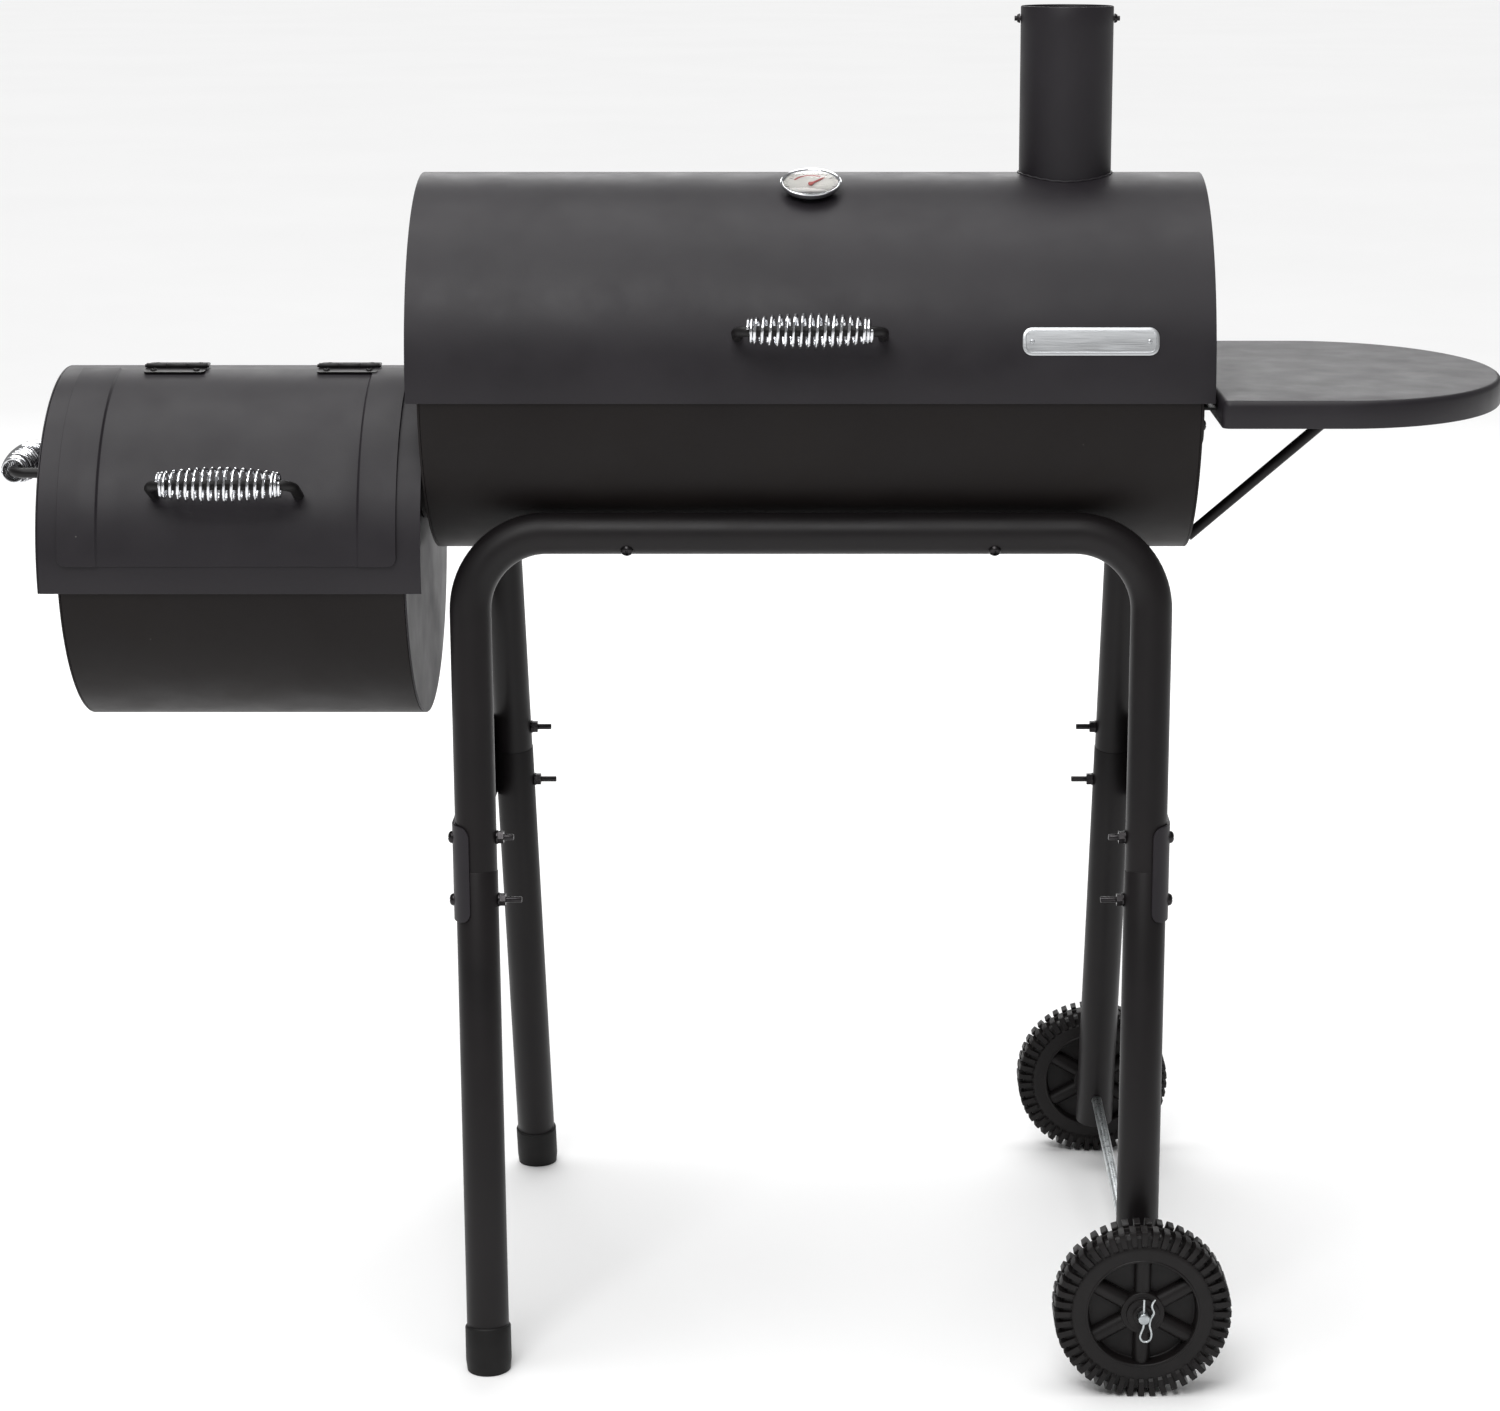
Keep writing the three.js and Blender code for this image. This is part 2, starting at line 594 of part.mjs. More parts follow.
// Wheels on a fixed axle, each kept on by a hitch pin
function wheelParts(word, end) {
  const { radius, width, y, x, hub, rim } = wheel;
  const half = width / 2;
  const bore = axle.radius + 0.8;
  const round = 7; // the shoulder of the tread
  const pocket = 11; // how deep the disc between hub and rim lies
  const profile = [
    [bore, -half - 4],
    [hub, -half - 4],
    [hub, pocket - half],
    [rim, pocket - half],
    [rim, -half],
    [radius - round, -half],
    [radius, round - half],
    [radius, half - round],
    [radius - round, half],
    [rim, half],
    [rim, half - pocket],
    [hub, half - pocket],
    [hub, half - 4],
    [bore, half - 4],
  ];
  const geometry = turned(profile, 26).rotateX((-end * Math.PI) / 2);
  add(`wheel_${word}`, geometry.translate(x, end * y, radius), "plastic");
}

function hitchPin(word, end) {
  const wire = 1.1;
  const spot = (x, z) => new THREE.Vector3(wheel.x + x, end * axle.pinY, wheel.radius + z);
  const straight = [spot(4, 20), spot(0, 8), spot(0, -10)];
  const loop = [spot(-4, -20), spot(1, -25), spot(6.5, -19)];
  const sprung = [spot(9, -7), spot(7, 6), spot(11, 18)];
  const path = new THREE.CatmullRomCurve3([...straight, ...loop, ...sprung]);
  add(`hitch_pin_${word}`, tubeAlong(path, wire, 0, 18, 6), "zinc");
}

function axleRod() {
  const bar = rodAlong("y", axle.radius, 2 * axle.half, 16).translate(wheel.x, 0, wheel.radius);
  const holes = [-1, 1].map((end) =>
    rodAlong("z", 1.6, 40, 8).translate(wheel.x, end * axle.pinY, wheel.radius),
  );
  add("axle", cut(bar, ...holes), "zinc");
}

barrelShell();
barrelEnd("barrel_end_left", -1);
barrelEnd("barrel_end_right", 1);
slottedGrate("cooking_grate_left", 2 - barrel.half, -2, barrel.grateHalf, barrel.grateZ, 9);
slottedGrate("cooking_grate_right", 2, barrel.half - 2, barrel.grateHalf, barrel.grateZ, 9);
lidShell();
lidEnd("lid_end_left", -1);
lidEnd("lid_end_right", 1);
lidHinges();
coilHandle("lid", frameOnRound(lid.radius, barrel.axisZ, handleAngle.lid, 0));
thermometer();
chimneyPipe();
fireboxParts();
slottedGrate("fire_grate", firebox.left + 4, firebox.right - 8, firebox.grateHalf, firebox.grateZ, 7);
ventShutter();
hoodParts();
hoodEnd();
doorParts();
doorHinges();
sideDoorParts();
shelfParts();
for (const [end, word] of [[-1, "front"], [1, "rear"]]) {
  upperFrame(`${word}_frame`, end, joint[word] - joint.insert);
  lowerLeg(`leg_${word}_left`, end, -1, joint[word], 7);
  lowerLeg(`leg_${word}_right`, end, 1, joint[word], wheel.legEnd);
  footCap(`foot_cap_${word}`, end);
  wheelParts(word, end);
  hitchPin(word, end);
}
sideBrace("side_brace_left", -1);
sideBrace("side_brace_right", 1);
axleRod();

export default object;
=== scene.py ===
import math

import bmesh
import bpy
from mathutils import Matrix, Vector


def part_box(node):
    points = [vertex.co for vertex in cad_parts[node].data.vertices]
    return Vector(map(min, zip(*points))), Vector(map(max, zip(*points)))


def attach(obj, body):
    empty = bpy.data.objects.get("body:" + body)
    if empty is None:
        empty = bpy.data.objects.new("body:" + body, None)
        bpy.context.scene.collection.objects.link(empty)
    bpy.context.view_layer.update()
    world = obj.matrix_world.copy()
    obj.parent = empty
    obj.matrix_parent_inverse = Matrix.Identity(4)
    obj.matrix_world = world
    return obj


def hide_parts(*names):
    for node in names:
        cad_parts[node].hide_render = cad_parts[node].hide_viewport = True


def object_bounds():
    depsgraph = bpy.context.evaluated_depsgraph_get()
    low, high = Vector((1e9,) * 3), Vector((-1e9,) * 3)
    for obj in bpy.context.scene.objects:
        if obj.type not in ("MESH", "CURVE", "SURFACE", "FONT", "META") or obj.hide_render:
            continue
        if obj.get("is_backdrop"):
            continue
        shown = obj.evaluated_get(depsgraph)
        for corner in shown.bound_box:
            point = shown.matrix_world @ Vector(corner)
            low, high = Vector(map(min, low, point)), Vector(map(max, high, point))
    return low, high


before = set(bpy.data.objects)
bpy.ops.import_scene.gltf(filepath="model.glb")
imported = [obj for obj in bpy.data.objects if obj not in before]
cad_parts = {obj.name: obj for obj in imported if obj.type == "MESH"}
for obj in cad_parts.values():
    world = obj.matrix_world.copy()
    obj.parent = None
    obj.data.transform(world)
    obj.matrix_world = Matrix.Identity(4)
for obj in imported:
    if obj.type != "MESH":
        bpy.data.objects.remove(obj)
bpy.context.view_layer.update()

print("stage: frame loaded with", len(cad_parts), "parts")


# places and sizes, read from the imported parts, in metres

def span(node):
    low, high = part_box(node)
    return low, high, (low + high) / 2, high - low


def drum(shell, leftEnd, rightEnd, sheet):
    low, high, middle, size = span(shell)
    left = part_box(leftEnd)[0].x
    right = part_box(rightEnd)[1].x
    return {"x": (left + right) / 2, "left": left, "right": right, "radius": -low.y, "sheet": sheet,
            "low": low.z, "high": high.z}


barrel = drum("barrel_shell", "barrel_end_left", "barrel_end_right", 0.002)
lid = drum("lid_shell", "lid_end_left", "lid_end_right", 0.0015)
firebox = drum("firebox_shell", "firebox_end_left", "firebox_end_right", 0.002)
hood = drum("firebox_hood", "hood_end_left", "firebox_hood", 0.0015)
barrelAxis = barrel["high"]
fireAxis = firebox["high"]


def onRound(radius, axisZ, degrees, x):
    # a frame whose +Z stands out of a round sheet, that many degrees above its front
    angle = math.radians(degrees)
    spot = Matrix.Translation((x, -radius * math.cos(angle), axisZ + radius * math.sin(angle)))
    return spot @ Matrix.Rotation(math.pi / 2 - angle, 4, "X")


def aimed(spot, direction):
    # a frame at spot whose +Z points along the direction
    return Matrix.Translation(spot) @ Vector(direction).to_track_quat("Z", "Y").to_matrix().to_4x4()


# turns an outline in (Y, Z) into a plate that is thick along X
alongX = Matrix(((0, 0, 1, 0), (1, 0, 0, 0), (0, 1, 0, 0), (0, 0, 0, 1)))


# finishes

def hexColour(code):
    parts = [int(code[i:i + 2], 16) / 255 for i in (1, 3, 5)]
    return tuple(((c + 0.055) / 1.055) ** 2.4 if c > 0.04045 else c / 12.92 for c in parts) + (1.0,)


def addNode(tree, kind, settings=None, links=None):
    made = tree.nodes.new("ShaderNode" + kind)
    for key, value in (settings or {}).items():
        if isinstance(key, int) or key in made.inputs:
            made.inputs[key].default_value = value
        else:
            setattr(made, key, value)
    for key, source in (links or {}).items():
        tree.links.new(source, made.inputs[key])
    return made


def startFinish(name, settings):
    material = bpy.data.materials.new(name)
    material.use_nodes = True
    tree = material.node_tree
    tree.nodes.clear()
    shader = addNode(tree, "BsdfPrincipled", settings)
    addNode(tree, "OutputMaterial", links={"Surface": shader.outputs["BSDF"]})
    where = addNode(tree, "TexCoord").outputs["Object"]
    return material, tree, shader, where


def noiseAt(tree, where, size, detail=2.0, rough=0.5):
    # size is the width of one patch in metres
    settings = {"Scale": 1 / size, "Detail": detail, "Roughness": rough}
    return addNode(tree, "TexNoise", settings, {"Vector": where}).outputs["Fac"]


def between(tree, source, low, high, fromLow=0.3, fromHigh=0.7):
    settings = {1: fromLow, 2: fromHigh, 3: low, 4: high}
    return addNode(tree, "MapRange", settings, {0: source}).outputs[0]


def mixed(tree, share, first, second):
    # first and second are hex colours or node outputs
    settings = {"data_type": "RGBA"}
    links = {0: share}
    for socket, colour in ((6, first), (7, second)):
        if isinstance(colour, str):
            settings[socket] = hexColour(colour)
        else:
            links[socket] = colour
    return addNode(tree, "Mix", settings, links).outputs[2]


def bumpy(tree, shader, layers):
    # layers of (height source, depth in metres), the last one on top
    normal = None
    for source, depth in layers:
        links = {"Height": source}
        if normal is not None:
            links["Normal"] = normal
        normal = addNode(tree, "Bump", {"Strength": 1.0, "Distance": depth}, links).outputs["Normal"]
    tree.links.new(normal, shader.inputs["Normal"])


def sprayedPaint(name, colours, rough, gloss, grain, specks):
    # sprayed and baked stove paint: charcoal with a fine tooth, which spreads every highlight wide
    material, tree, shader, where = startFinish(name, {"IOR": 1.46, "Specular IOR Level": gloss})
    patch = between(tree, noiseAt(tree, where, 0.09, 3), 0, 1)
    colour = mixed(tree, patch, *colours)
    if specks:
        # one place for a speck of dust in every 32 mm, and few of them taken
        cell = addNode(tree, "TexVoronoi", {"Scale": 1 / 0.032}, {"Vector": where})
        dot = between(tree, cell.outputs["Distance"], 0.55, 0, 0.012, 0.02)
        lucky = addNode(tree, "SeparateColor", links={0: cell.outputs["Color"]}).outputs[0]
        kept = between(tree, lucky, 0, 1, 0.86, 0.87)
        share = addNode(tree, "Math", {"operation": "MULTIPLY"}, {0: dot, 1: kept}).outputs[0]
        colour = mixed(tree, share, colour, "#8f8c88")
    tree.links.new(colour, shader.inputs["Base Color"])
    tree.links.new(between(tree, noiseAt(tree, where, 0.045, 4), *rough), shader.inputs["Roughness"])
    peel = noiseAt(tree, where, 0.006, 2)
    tooth = noiseAt(tree, where, grain, 2)
    bumpy(tree, shader, [(peel, 0.00002), (tooth, 0.00005)])
    return material


def chromePlate(name):
    # bright chrome on drawn wire: a clean mirror with a faint waviness from the drawing
    settings = {"Base Color": hexColour("#e4e5e8"), "Metallic": 1.0}
    material, tree, shader, where = startFinish(name, settings)
    tree.links.new(between(tree, noiseAt(tree, where, 0.004, 3), 0.06, 0.16),
                   shader.inputs["Roughness"])
    bumpy(tree, shader, [(noiseAt(tree, where, 0.0015, 2), 0.00001)])
    return material


def zincPlate(name, dark, light):
    # zinc plate with a thin passivation: soft grey metal, cloudy from place to place
    material, tree, shader, where = startFinish(name, {"Metallic": 1.0})
    cloud = between(tree, noiseAt(tree, where, 0.012, 4), 0, 1)
    tree.links.new(mixed(tree, cloud, dark, light), shader.inputs["Base Color"])
    tree.links.new(between(tree, noiseAt(tree, where, 0.003, 3), 0.24, 0.42),
                   shader.inputs["Roughness"])
    bumpy(tree, shader, [(noiseAt(tree, where, 0.0008, 2), 0.00001)])
    return material


def mouldedPlastic(name, colours, rough):
    # polypropylene moulded in a spark-eroded tool: deep black with an even satin texture
    material, tree, shader, where = startFinish(name, {"IOR": 1.49, "Specular IOR Level": 0.25})
    cloud = between(tree, noiseAt(tree, where, 0.03, 3), 0, 1)
    tree.links.new(mixed(tree, cloud, *colours), shader.inputs["Base Color"])
    tree.links.new(between(tree, noiseAt(tree, where, 0.01, 3), *rough), shader.inputs["Roughness"])
    bumpy(tree, shader, [(noiseAt(tree, where, 0.0007, 2), 0.00004)])
    return material


def printedEnamel(name, code, rough):
    # screen-printed paint on a steel dial: flat colour with a slight unevenness of the ink
    material, tree, shader, where = startFinish(name, {"IOR": 1.5, "Roughness": rough})
    cloud = between(tree, noiseAt(tree, where, 0.006, 3), 0, 0.12)
    tree.links.new(mixed(tree, cloud, code, "#9a9a98"), shader.inputs["Base Color"])
    bumpy(tree, shader, [(noiseAt(tree, where, 0.0006, 2), 0.000006)])
    return material


def rolledAluminium(name, code):
    # aluminium strip, brushed along its length: fine lines that stretch the highlight crosswise
    settings = {"Base Color": hexColour(code), "Metallic": 1.0}
    material, tree, shader, where = startFinish(name, settings)
    along = addNode(tree, "Mapping", {"Scale": (0.02, 1.0, 1.0)}, {"Vector": where}).outputs["Vector"]
    lines = noiseAt(tree, along, 0.0006, 3, 0.6)
    tree.links.new(between(tree, lines, 0.28, 0.5), shader.inputs["Roughness"])
    bumpy(tree, shader, [(lines, 0.00002)])
    return material


def clearGlass(name):
    # flat lens: clear, with the faintest smear in its polish
    settings = {"Base Color": (1, 1, 1, 1), "Transmission Weight": 1.0, "IOR": 1.45}
    material, tree, shader, where = startFinish(name, settings)
    tree.links.new(between(tree, noiseAt(tree, where, 0.01, 2), 0.0, 0.04), shader.inputs["Roughness"])
    return material


sheetPaint = sprayedPaint("stovePaintOnSheet", ("#1c191d", "#221f23"), (0.42, 0.52), 0.34, 0.0011, True)
# the same stove paint made darker for the lower halves of the drums: painted shade of the underside
drumPaintWithPaintedShade = sprayedPaint("stovePaintOnDrum", ("#130f0f", "#171312"), (0.46, 0.56), 0.2, 0.0011, True)
# the same stove paint made darker for the stand's tubes under the barrel: painted shade
tubePaintWithPaintedShade = sprayedPaint("stovePaintOnTube", ("#151314", "#191617"), (0.4, 0.48), 0.26, 0.0009, False)
smallPaint = sprayedPaint("stovePaintOnTrim", ("#111010", "#161415"), (0.36, 0.46), 0.3, 0.0008, False)
chrome = chromePlate("chromePlatedWire")
zinc = zincPlate("zincPlatedSteel", "#a9aeb0", "#cfd3d4")
darkZinc = zincPlate("blackZincScrews", "#2b2a2b", "#3b393a")
grateSteel = zincPlate("platedGrateWire", "#7f7c78", "#a3a19c")
tyrePlastic = mouldedPlastic("mouldedPolypropylene", ("#121010", "#171414"), (0.4, 0.5))
capPlastic = mouldedPlastic("mouldedVinylCap", ("#111010", "#151414"), (0.48, 0.58))
dialWhite = printedEnamel("printedDialWhite", "#eceae4", 0.4)
dialInk = printedEnamel("printedDialInk", "#232224", 0.45)
dialRed = printedEnamel("printedDialRed", "#b4382c", 0.45)
pointerRed = printedEnamel("pointerPaintRed", "#c02a1c", 0.35)
badgeMetal = rolledAluminium("brushedAluminium", "#c6c8ca")
lensGlass = clearGlass("lensGlass")
finishSlots = {
    "high_heat_paint": (sheetPaint, drumPaintWithPaintedShade, tubePaintWithPaintedShade, smallPaint),
    "zinc_steel": (zinc, darkZinc),
    "grate_steel": (grateSteel,),
    "chrome_wire": (chrome,),
    "moulded_plastic": (tyrePlastic, capPlastic),
    "dial_enamel": (dialWhite, dialInk, dialRed),
    "needle_red": (pointerRed,),
    "badge_plate": (badgeMetal,),
    "gauge_glass": (lensGlass,),
}
finishSlots = {finish.name: slot for slot, finishes in finishSlots.items() for finish in finishes}
print("stage: finishes made")


# mesh building

def meshOf(name, points, faces):
    mesh = bpy.data.meshes.new(name)
    mesh.from_pydata([tuple(point) for point in points], [], faces)
    return mesh


def joined(name, meshes):
    build = bmesh.new()
    for mesh in meshes:
        build.from_mesh(mesh)
    made = bpy.data.meshes.new(name)
    build.to_mesh(made)
    build.free()
    return made


def moved(mesh, place):
    copy = mesh.copy()
    copy.transform(place)
    return copy


def put(name, mesh, body, finish, replaces=(), place=None, bevel=0.0, sheet=0.0, sharp=35, closed=True):
    # links the mesh as a piece of the object, with its edges rounded and its place on a body
    mesh.name = name
    if place is not None:
        mesh.transform(place)
    build = bmesh.new()
    build.from_mesh(mesh)
    bmesh.ops.remove_doubles(build, verts=build.verts, dist=1e-7)
    if closed:
        bmesh.ops.recalc_face_normals(build, faces=build.faces)
    for face in build.faces:
        face.smooth = True
    for edge in build.edges:
        edge.smooth = not edge.is_manifold or edge.calc_face_angle(0) < math.radians(sharp)
    build.to_mesh(mesh)
    build.free()
    mesh.materials.append(finish)
    piece = bpy.data.objects.new(name, mesh)
    bpy.context.scene.collection.objects.link(piece)
    if sheet:
        thick = piece.modifiers.new("sheetThickness", "SOLIDIFY")
        thick.thickness = sheet
        thick.offset = -1
        thick.use_even_offset = True
    if bevel:
        rounded = piece.modifiers.new("roundedEdges", "BEVEL")
        rounded.width = bevel
        rounded.segments = 2
        rounded.limit_method = "ANGLE"
        rounded.angle_limit = math.radians(sharp)
        rounded.harden_normals = True
    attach(piece, body)
    if replaces:
        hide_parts(*replaces)
    return piece


def bridged(rings, closeRing=True, closeEnds=False, loop=False):
    # faces between rings of equal length
    count = len(rings[0])
    points = [point for ring in rings for point in ring]
    faces = []
    last = len(rings) if loop else len(rings) - 1
    for i in range(last):
        a, b = i * count, (i + 1) % len(rings) * count
        for j in range(count if closeRing else count - 1):
            k = (j + 1) % count
            faces.append((a + j, a + k, b + k, b + j))
    if closeEnds:
        faces.append(tuple(reversed(range(count))))
        faces.append(tuple(range(len(points) - count, len(points))))
    return points, faces


def roundRing(radius, sides):
    angles = [math.tau * i / sides for i in range(sides)]
    return [(radius * math.cos(a), radius * math.sin(a)) for a in angles]


def swept(name, path, radii, sides=16, loop=False):
    # a round bar along the path; radii is one radius or one for each point
    path = [Vector(point) for point in path]
    count = len(path)
    rings = []
    side = None
    for i, spot in enumerate(path):
        before = path[i - 1] if i or loop else path[0]
        after = path[(i + 1) % count] if i < count - 1 or loop else path[-1]
        along = (after - before).normalized()
        side = along.orthogonal() if side is None else side - along * side.dot(along)
        side.normalize()
        up = along.cross(side)
        radius = radii[i] if isinstance(radii, (list, tuple)) else radii
        rings.append([spot + side * a + up * b for a, b in roundRing(radius, sides)])
    return meshOf(name, *bridged(rings, closeEnds=not loop, loop=loop))


def roundEnded(path, radius, cap):
    # the path and radii of a bar whose two ends are softened over the length cap
    path = [Vector(point) for point in path]
    head = (path[1] - path[0]).normalized() * cap
    tail = (path[-2] - path[-1]).normalized() * cap
    start = [path[0], path[0] + head * 0.35, path[0] + head]
    end = [path[-1] + tail, path[-1] + tail * 0.35, path[-1]]
    narrow = [radius - cap, radius - cap * 0.35]
    return start + path[1:-1] + end, narrow + [radius] * len(path) + narrow[::-1]


def lathe(name, profile, segments=48, ring=False):
    # a profile of (radius, height) turned about +Z; a ring's profile closes on itself
    rings = []
    for i in range(segments):
        angle = math.tau * i / segments
        rings.append([Vector((r * math.cos(angle), r * math.sin(angle), z)) for r, z in profile])
    return meshOf(name, *bridged(rings, closeRing=ring, loop=True))


mm = 0.001


def lathed(name, profile, segments):
    # a lathe profile given in millimetres
    return lathe(name, [(r * mm, z * mm) for r, z in profile], segments)


def slab(name, outline, thickness, holes=()):
    # a flat plate from z = 0 to its thickness, with holes through it
    build = bmesh.new()
    for loop in (outline, *holes):
        verts = [build.verts.new((x, y, 0)) for x, y in loop]
        for i in range(len(verts)):
            build.edges.new((verts[i - 1], verts[i]))
    build.verts.index_update()
    bmesh.ops.triangle_fill(build, use_beauty=True, use_dissolve=False, edges=build.edges[:],
                            normal=(0, 0, 1))
    points = [vert.co.copy() for vert in build.verts]
    flat = [tuple(vert.index for vert in face.verts) for face in build.faces]
    build.free()
    count = len(points)
    faces = flat + [tuple(i + count for i in reversed(face)) for face in flat]
    start = 0
    for loop in (outline, *holes):
        size = len(loop)
        for i in range(size):
            a, b = start + i, start + (i + 1) % size
            faces.append((a, b, b + count, a + count))
        start += size
    return meshOf(name, points + [point + Vector((0, 0, thickness)) for point in points], faces)


def arcPoints(centre, radius, start, end, steps):
    # points on an arc in a plane, from start to end in degrees
    turn = [math.radians(start + (end - start) * i / steps) for i in range(steps + 1)]
    return [(centre[0] + radius * math.cos(a), centre[1] + radius * math.sin(a)) for a in turn]


def roundedBox(width, height, radius, steps=6):
    # outline of a rectangle with round corners, about the origin
    points = []
    for x, y, start in ((1, 1, 0), (-1, 1, 90), (-1, -1, 180), (1, -1, 270)):
        centre = (x * (width / 2 - radius), y * (height / 2 - radius))
        points += arcPoints(centre, radius, start, start + 90, steps)
    return points


def rectangle(width, height):
    x, y = width / 2, height / 2
    return [(-x, -y), (x, -y), (x, y), (-x, y)]


def drawnOut(name, outline, left, right):
    mesh = slab(name, outline, right - left)
    mesh.transform(Matrix.Translation((left, 0, 0)) @ alongX)
    return mesh


def through(stops, stride):
    # the stops with even steps between them, none wider than the stride
    values = [stops[0]]
    for start, end in zip(stops, stops[1:]):
        count = max(1, math.ceil((end - start) / stride))
        values += [start + (end - start) * i / count for i in range(1, count + 1)]
    return values


def bentGrid(name, xs, turns, radius, axisZ, lift=None, hole=None, shift=None):
    # a round sheet as a surface: degrees run from the front (0) over the top (90) to the back (180)
    points = []
    for x in xs:
        for degrees in turns:
            reach = radius + (lift(x, degrees) if lift else 0)
            angle = math.radians(degrees)
            across = shift(x, degrees) if shift else x
            points.append((across, -reach * math.cos(angle), axisZ + reach * math.sin(angle)))
    faces = []
    row = len(turns)
    for i in range(len(xs) - 1):
        for j in range(row - 1):
            if hole and hole((xs[i] + xs[i + 1]) / 2, (turns[j] + turns[j + 1]) / 2):
                continue
            a = i * row + j
            faces.append((a, a + row, a + row + 1, a + 1))
    return meshOf(name, points, faces)


def cornerInset(distance, radius):
    # how far a round corner draws in, at that distance from its edge
    return radius - math.sqrt(radius ** 2 - (radius - distance) ** 2) if distance < radius else 0.0


def curved(points, steps=8):
    # a smooth path through the points
    ends = [points[0], *points, points[-1]]
    path = []
    for a, b, c, d in zip(ends, ends[1:], ends[2:], ends[3:]):
        a, b, c, d = Vector(a), Vector(b), Vector(c), Vector(d)
        for i in range(steps):
            t = i / steps
            square = (2 * a - 5 * b + 4 * c - d) * t * t
            cube = (3 * b - a - 3 * c + d) * t ** 3
            path.append(((2 * b) + (c - a) * t + square + cube) / 2)
    path.append(Vector(points[-1]))
    return path


def cutBy(piece, cutter):
    # takes the cutter out of the piece and throws the cutter away
    tool = bpy.data.objects.new("cutter", cutter)
    bpy.context.scene.collection.objects.link(tool)
    taken = piece.modifiers.new("hole", "BOOLEAN")
    taken.object = tool
    taken.solver = "EXACT"
    bpy.context.view_layer.update()
    solid = piece.evaluated_get(bpy.context.evaluated_depsgraph_get())
    cut = bpy.data.meshes.new_from_object(solid)
    for modifier in list(piece.modifiers):
        piece.modifiers.remove(modifier)
    piece.data = cut
    bpy.data.objects.remove(tool)


def domeHead(radius, height, seat=0.0):
    # a pan-head screw's dome, with a cross recess pressed into it
    rings = []
    steps = 10
    sides = 48
    arm = radius * 0.14
    for i in range(steps + 1):
        share = i / steps
        ring = []
        for j in range(sides):
            angle = math.tau * j / sides
            r = radius * max(share, 0.02)
            x, y = r * math.cos(angle), r * math.sin(angle)
            z = height * math.sqrt(max(0.0, 1 - share ** 2.6))
            if min(abs(x), abs(y)) < arm and r < radius * 0.62:
                z -= height * 0.55
            ring.append(Vector((x, y, z)))
        rings.append(ring)
    rings.append([Vector((p.x, p.y, -seat)) for p in rings[-1]])
    return meshOf("dome", *bridged(rings, closeEnds=True))


def hexNut(across, height, bore):
    corner = across / math.sqrt(3)
    turns = [math.radians(60 * i) for i in range(6)]
    outline = [(corner * math.cos(a), corner * math.sin(a)) for a in turns]
    return slab("nut", outline, height, [roundRing(bore, 20)])


def washer(radius, height, bore):
    return lathe("washer", [(bore, 0), (radius, 0), (radius, height), (bore, height)], 32, ring=True)


# cooking chamber

def arcYZ(radius, axisZ, start, end, steps=72):
    return arcPoints((0, axisZ), radius, start, end, steps)


def troughOutline(radius, axisZ, sheet, lip, turnDown):
    # half a drum, with its rims folded inward and down if there is a lip
    inner = radius - sheet
    edge = radius - lip
    folded = math.degrees(math.asin(sheet / inner)) if lip else 0
    top, low, under = axisZ, axisZ - turnDown, axisZ - sheet
    outline = arcYZ(radius, axisZ, 180, 360)
    if lip:
        outline += [(edge, top), (edge, low), (edge + sheet, low), (edge + sheet, under)]
    outline += arcYZ(inner, axisZ, 360 - folded, 180 + folded)
    if lip:
        outline += [(-edge - sheet, under), (-edge - sheet, low), (-edge, low), (-edge, top)]
    return outline


chamber = {"lip": 0.012, "turnDown": 0.007, "endSheet": 0.002, "throat": 0.062}
throatLow, throatHigh, throatMid, throatSize = span("throat_collar")

outline = troughOutline(barrel["radius"], barrelAxis, barrel["sheet"], chamber["lip"],
                        chamber["turnDown"])
left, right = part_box("barrel_shell")[0].x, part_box("barrel_shell")[1].x
put("barrelTrough", drawnOut("trough", outline, left, right), "stand", drumPaintWithPaintedShade, ["barrel_shell"],
    bevel=0.0004)
halfDisc = arcYZ(barrel["radius"], barrelAxis, 180, 360)
throatHole = arcPoints((0, throatMid.z), chamber["throat"], 0, 360, 48)[:-1]
outerFace, innerFace = barrel["left"], barrel["left"] + chamber["endSheet"]
endLeft = put("barrelEndLeft", drawnOut("end", halfDisc, outerFace, innerFace), "stand", drumPaintWithPaintedShade,
              ["barrel_end_left"], bevel=0.0006)
outerFace, innerFace = barrel["right"], barrel["right"] - chamber["endSheet"]
put("barrelEndRight", drawnOut("end", halfDisc, innerFace, outerFace), "stand", drumPaintWithPaintedShade,
    ["barrel_end_right"], bevel=0.0006)
cutBy(endLeft, drawnOut("hole", throatHole, barrel["left"] - 0.01, barrel["left"] + 0.01))
aboveAxis = [(-1, barrelAxis), (1, barrelAxis), (1, 2), (-1, 2)]
cutBy(endLeft, drawnOut("flat", aboveAxis, -1, 1))

grate = {"bar": 0.0025, "rim": 0.0035, "gap": 0.0155, "crossBars": 3}


def gratePiece(name, node):
    # welded wire grate: a rim, bars from front to back and three stays under them
    low, high, middle, size = span(node)
    rim = grate["rim"]
    z = high.z - rim
    corners = roundedBox(size.x - 2 * rim, size.y - 2 * rim, 0.02)
    parts = [swept("rim", [(middle.x + x, middle.y + y, z) for x, y in corners], rim, 10, loop=True)]
    count = int((size.x - 4 * rim) / grate["gap"])
    for i in range(1, count):
        x = low.x + rim + (size.x - 2 * rim) * i / count
        parts.append(swept("bar", [(x, low.y + rim, z), (x, high.y - rim, z)], grate["bar"], 8))
    for i in range(grate["crossBars"]):
        y = middle.y + (i - 1) * size.y * 0.3
        stay = z - 2 * grate["bar"]
        parts.append(swept("stay", [(low.x + rim, y, stay), (high.x - rim, y, stay)], grate["bar"], 8))
    put(name, joined(name, parts), "stand", grateSteel, [node])


gratePiece("cookingGrateLeft", "cooking_grate_left")
gratePiece("cookingGrateRight", "cooking_grate_right")
gratePiece("fireGrate", "fire_grate")
print("stage: barrel and grates made")


# main lid

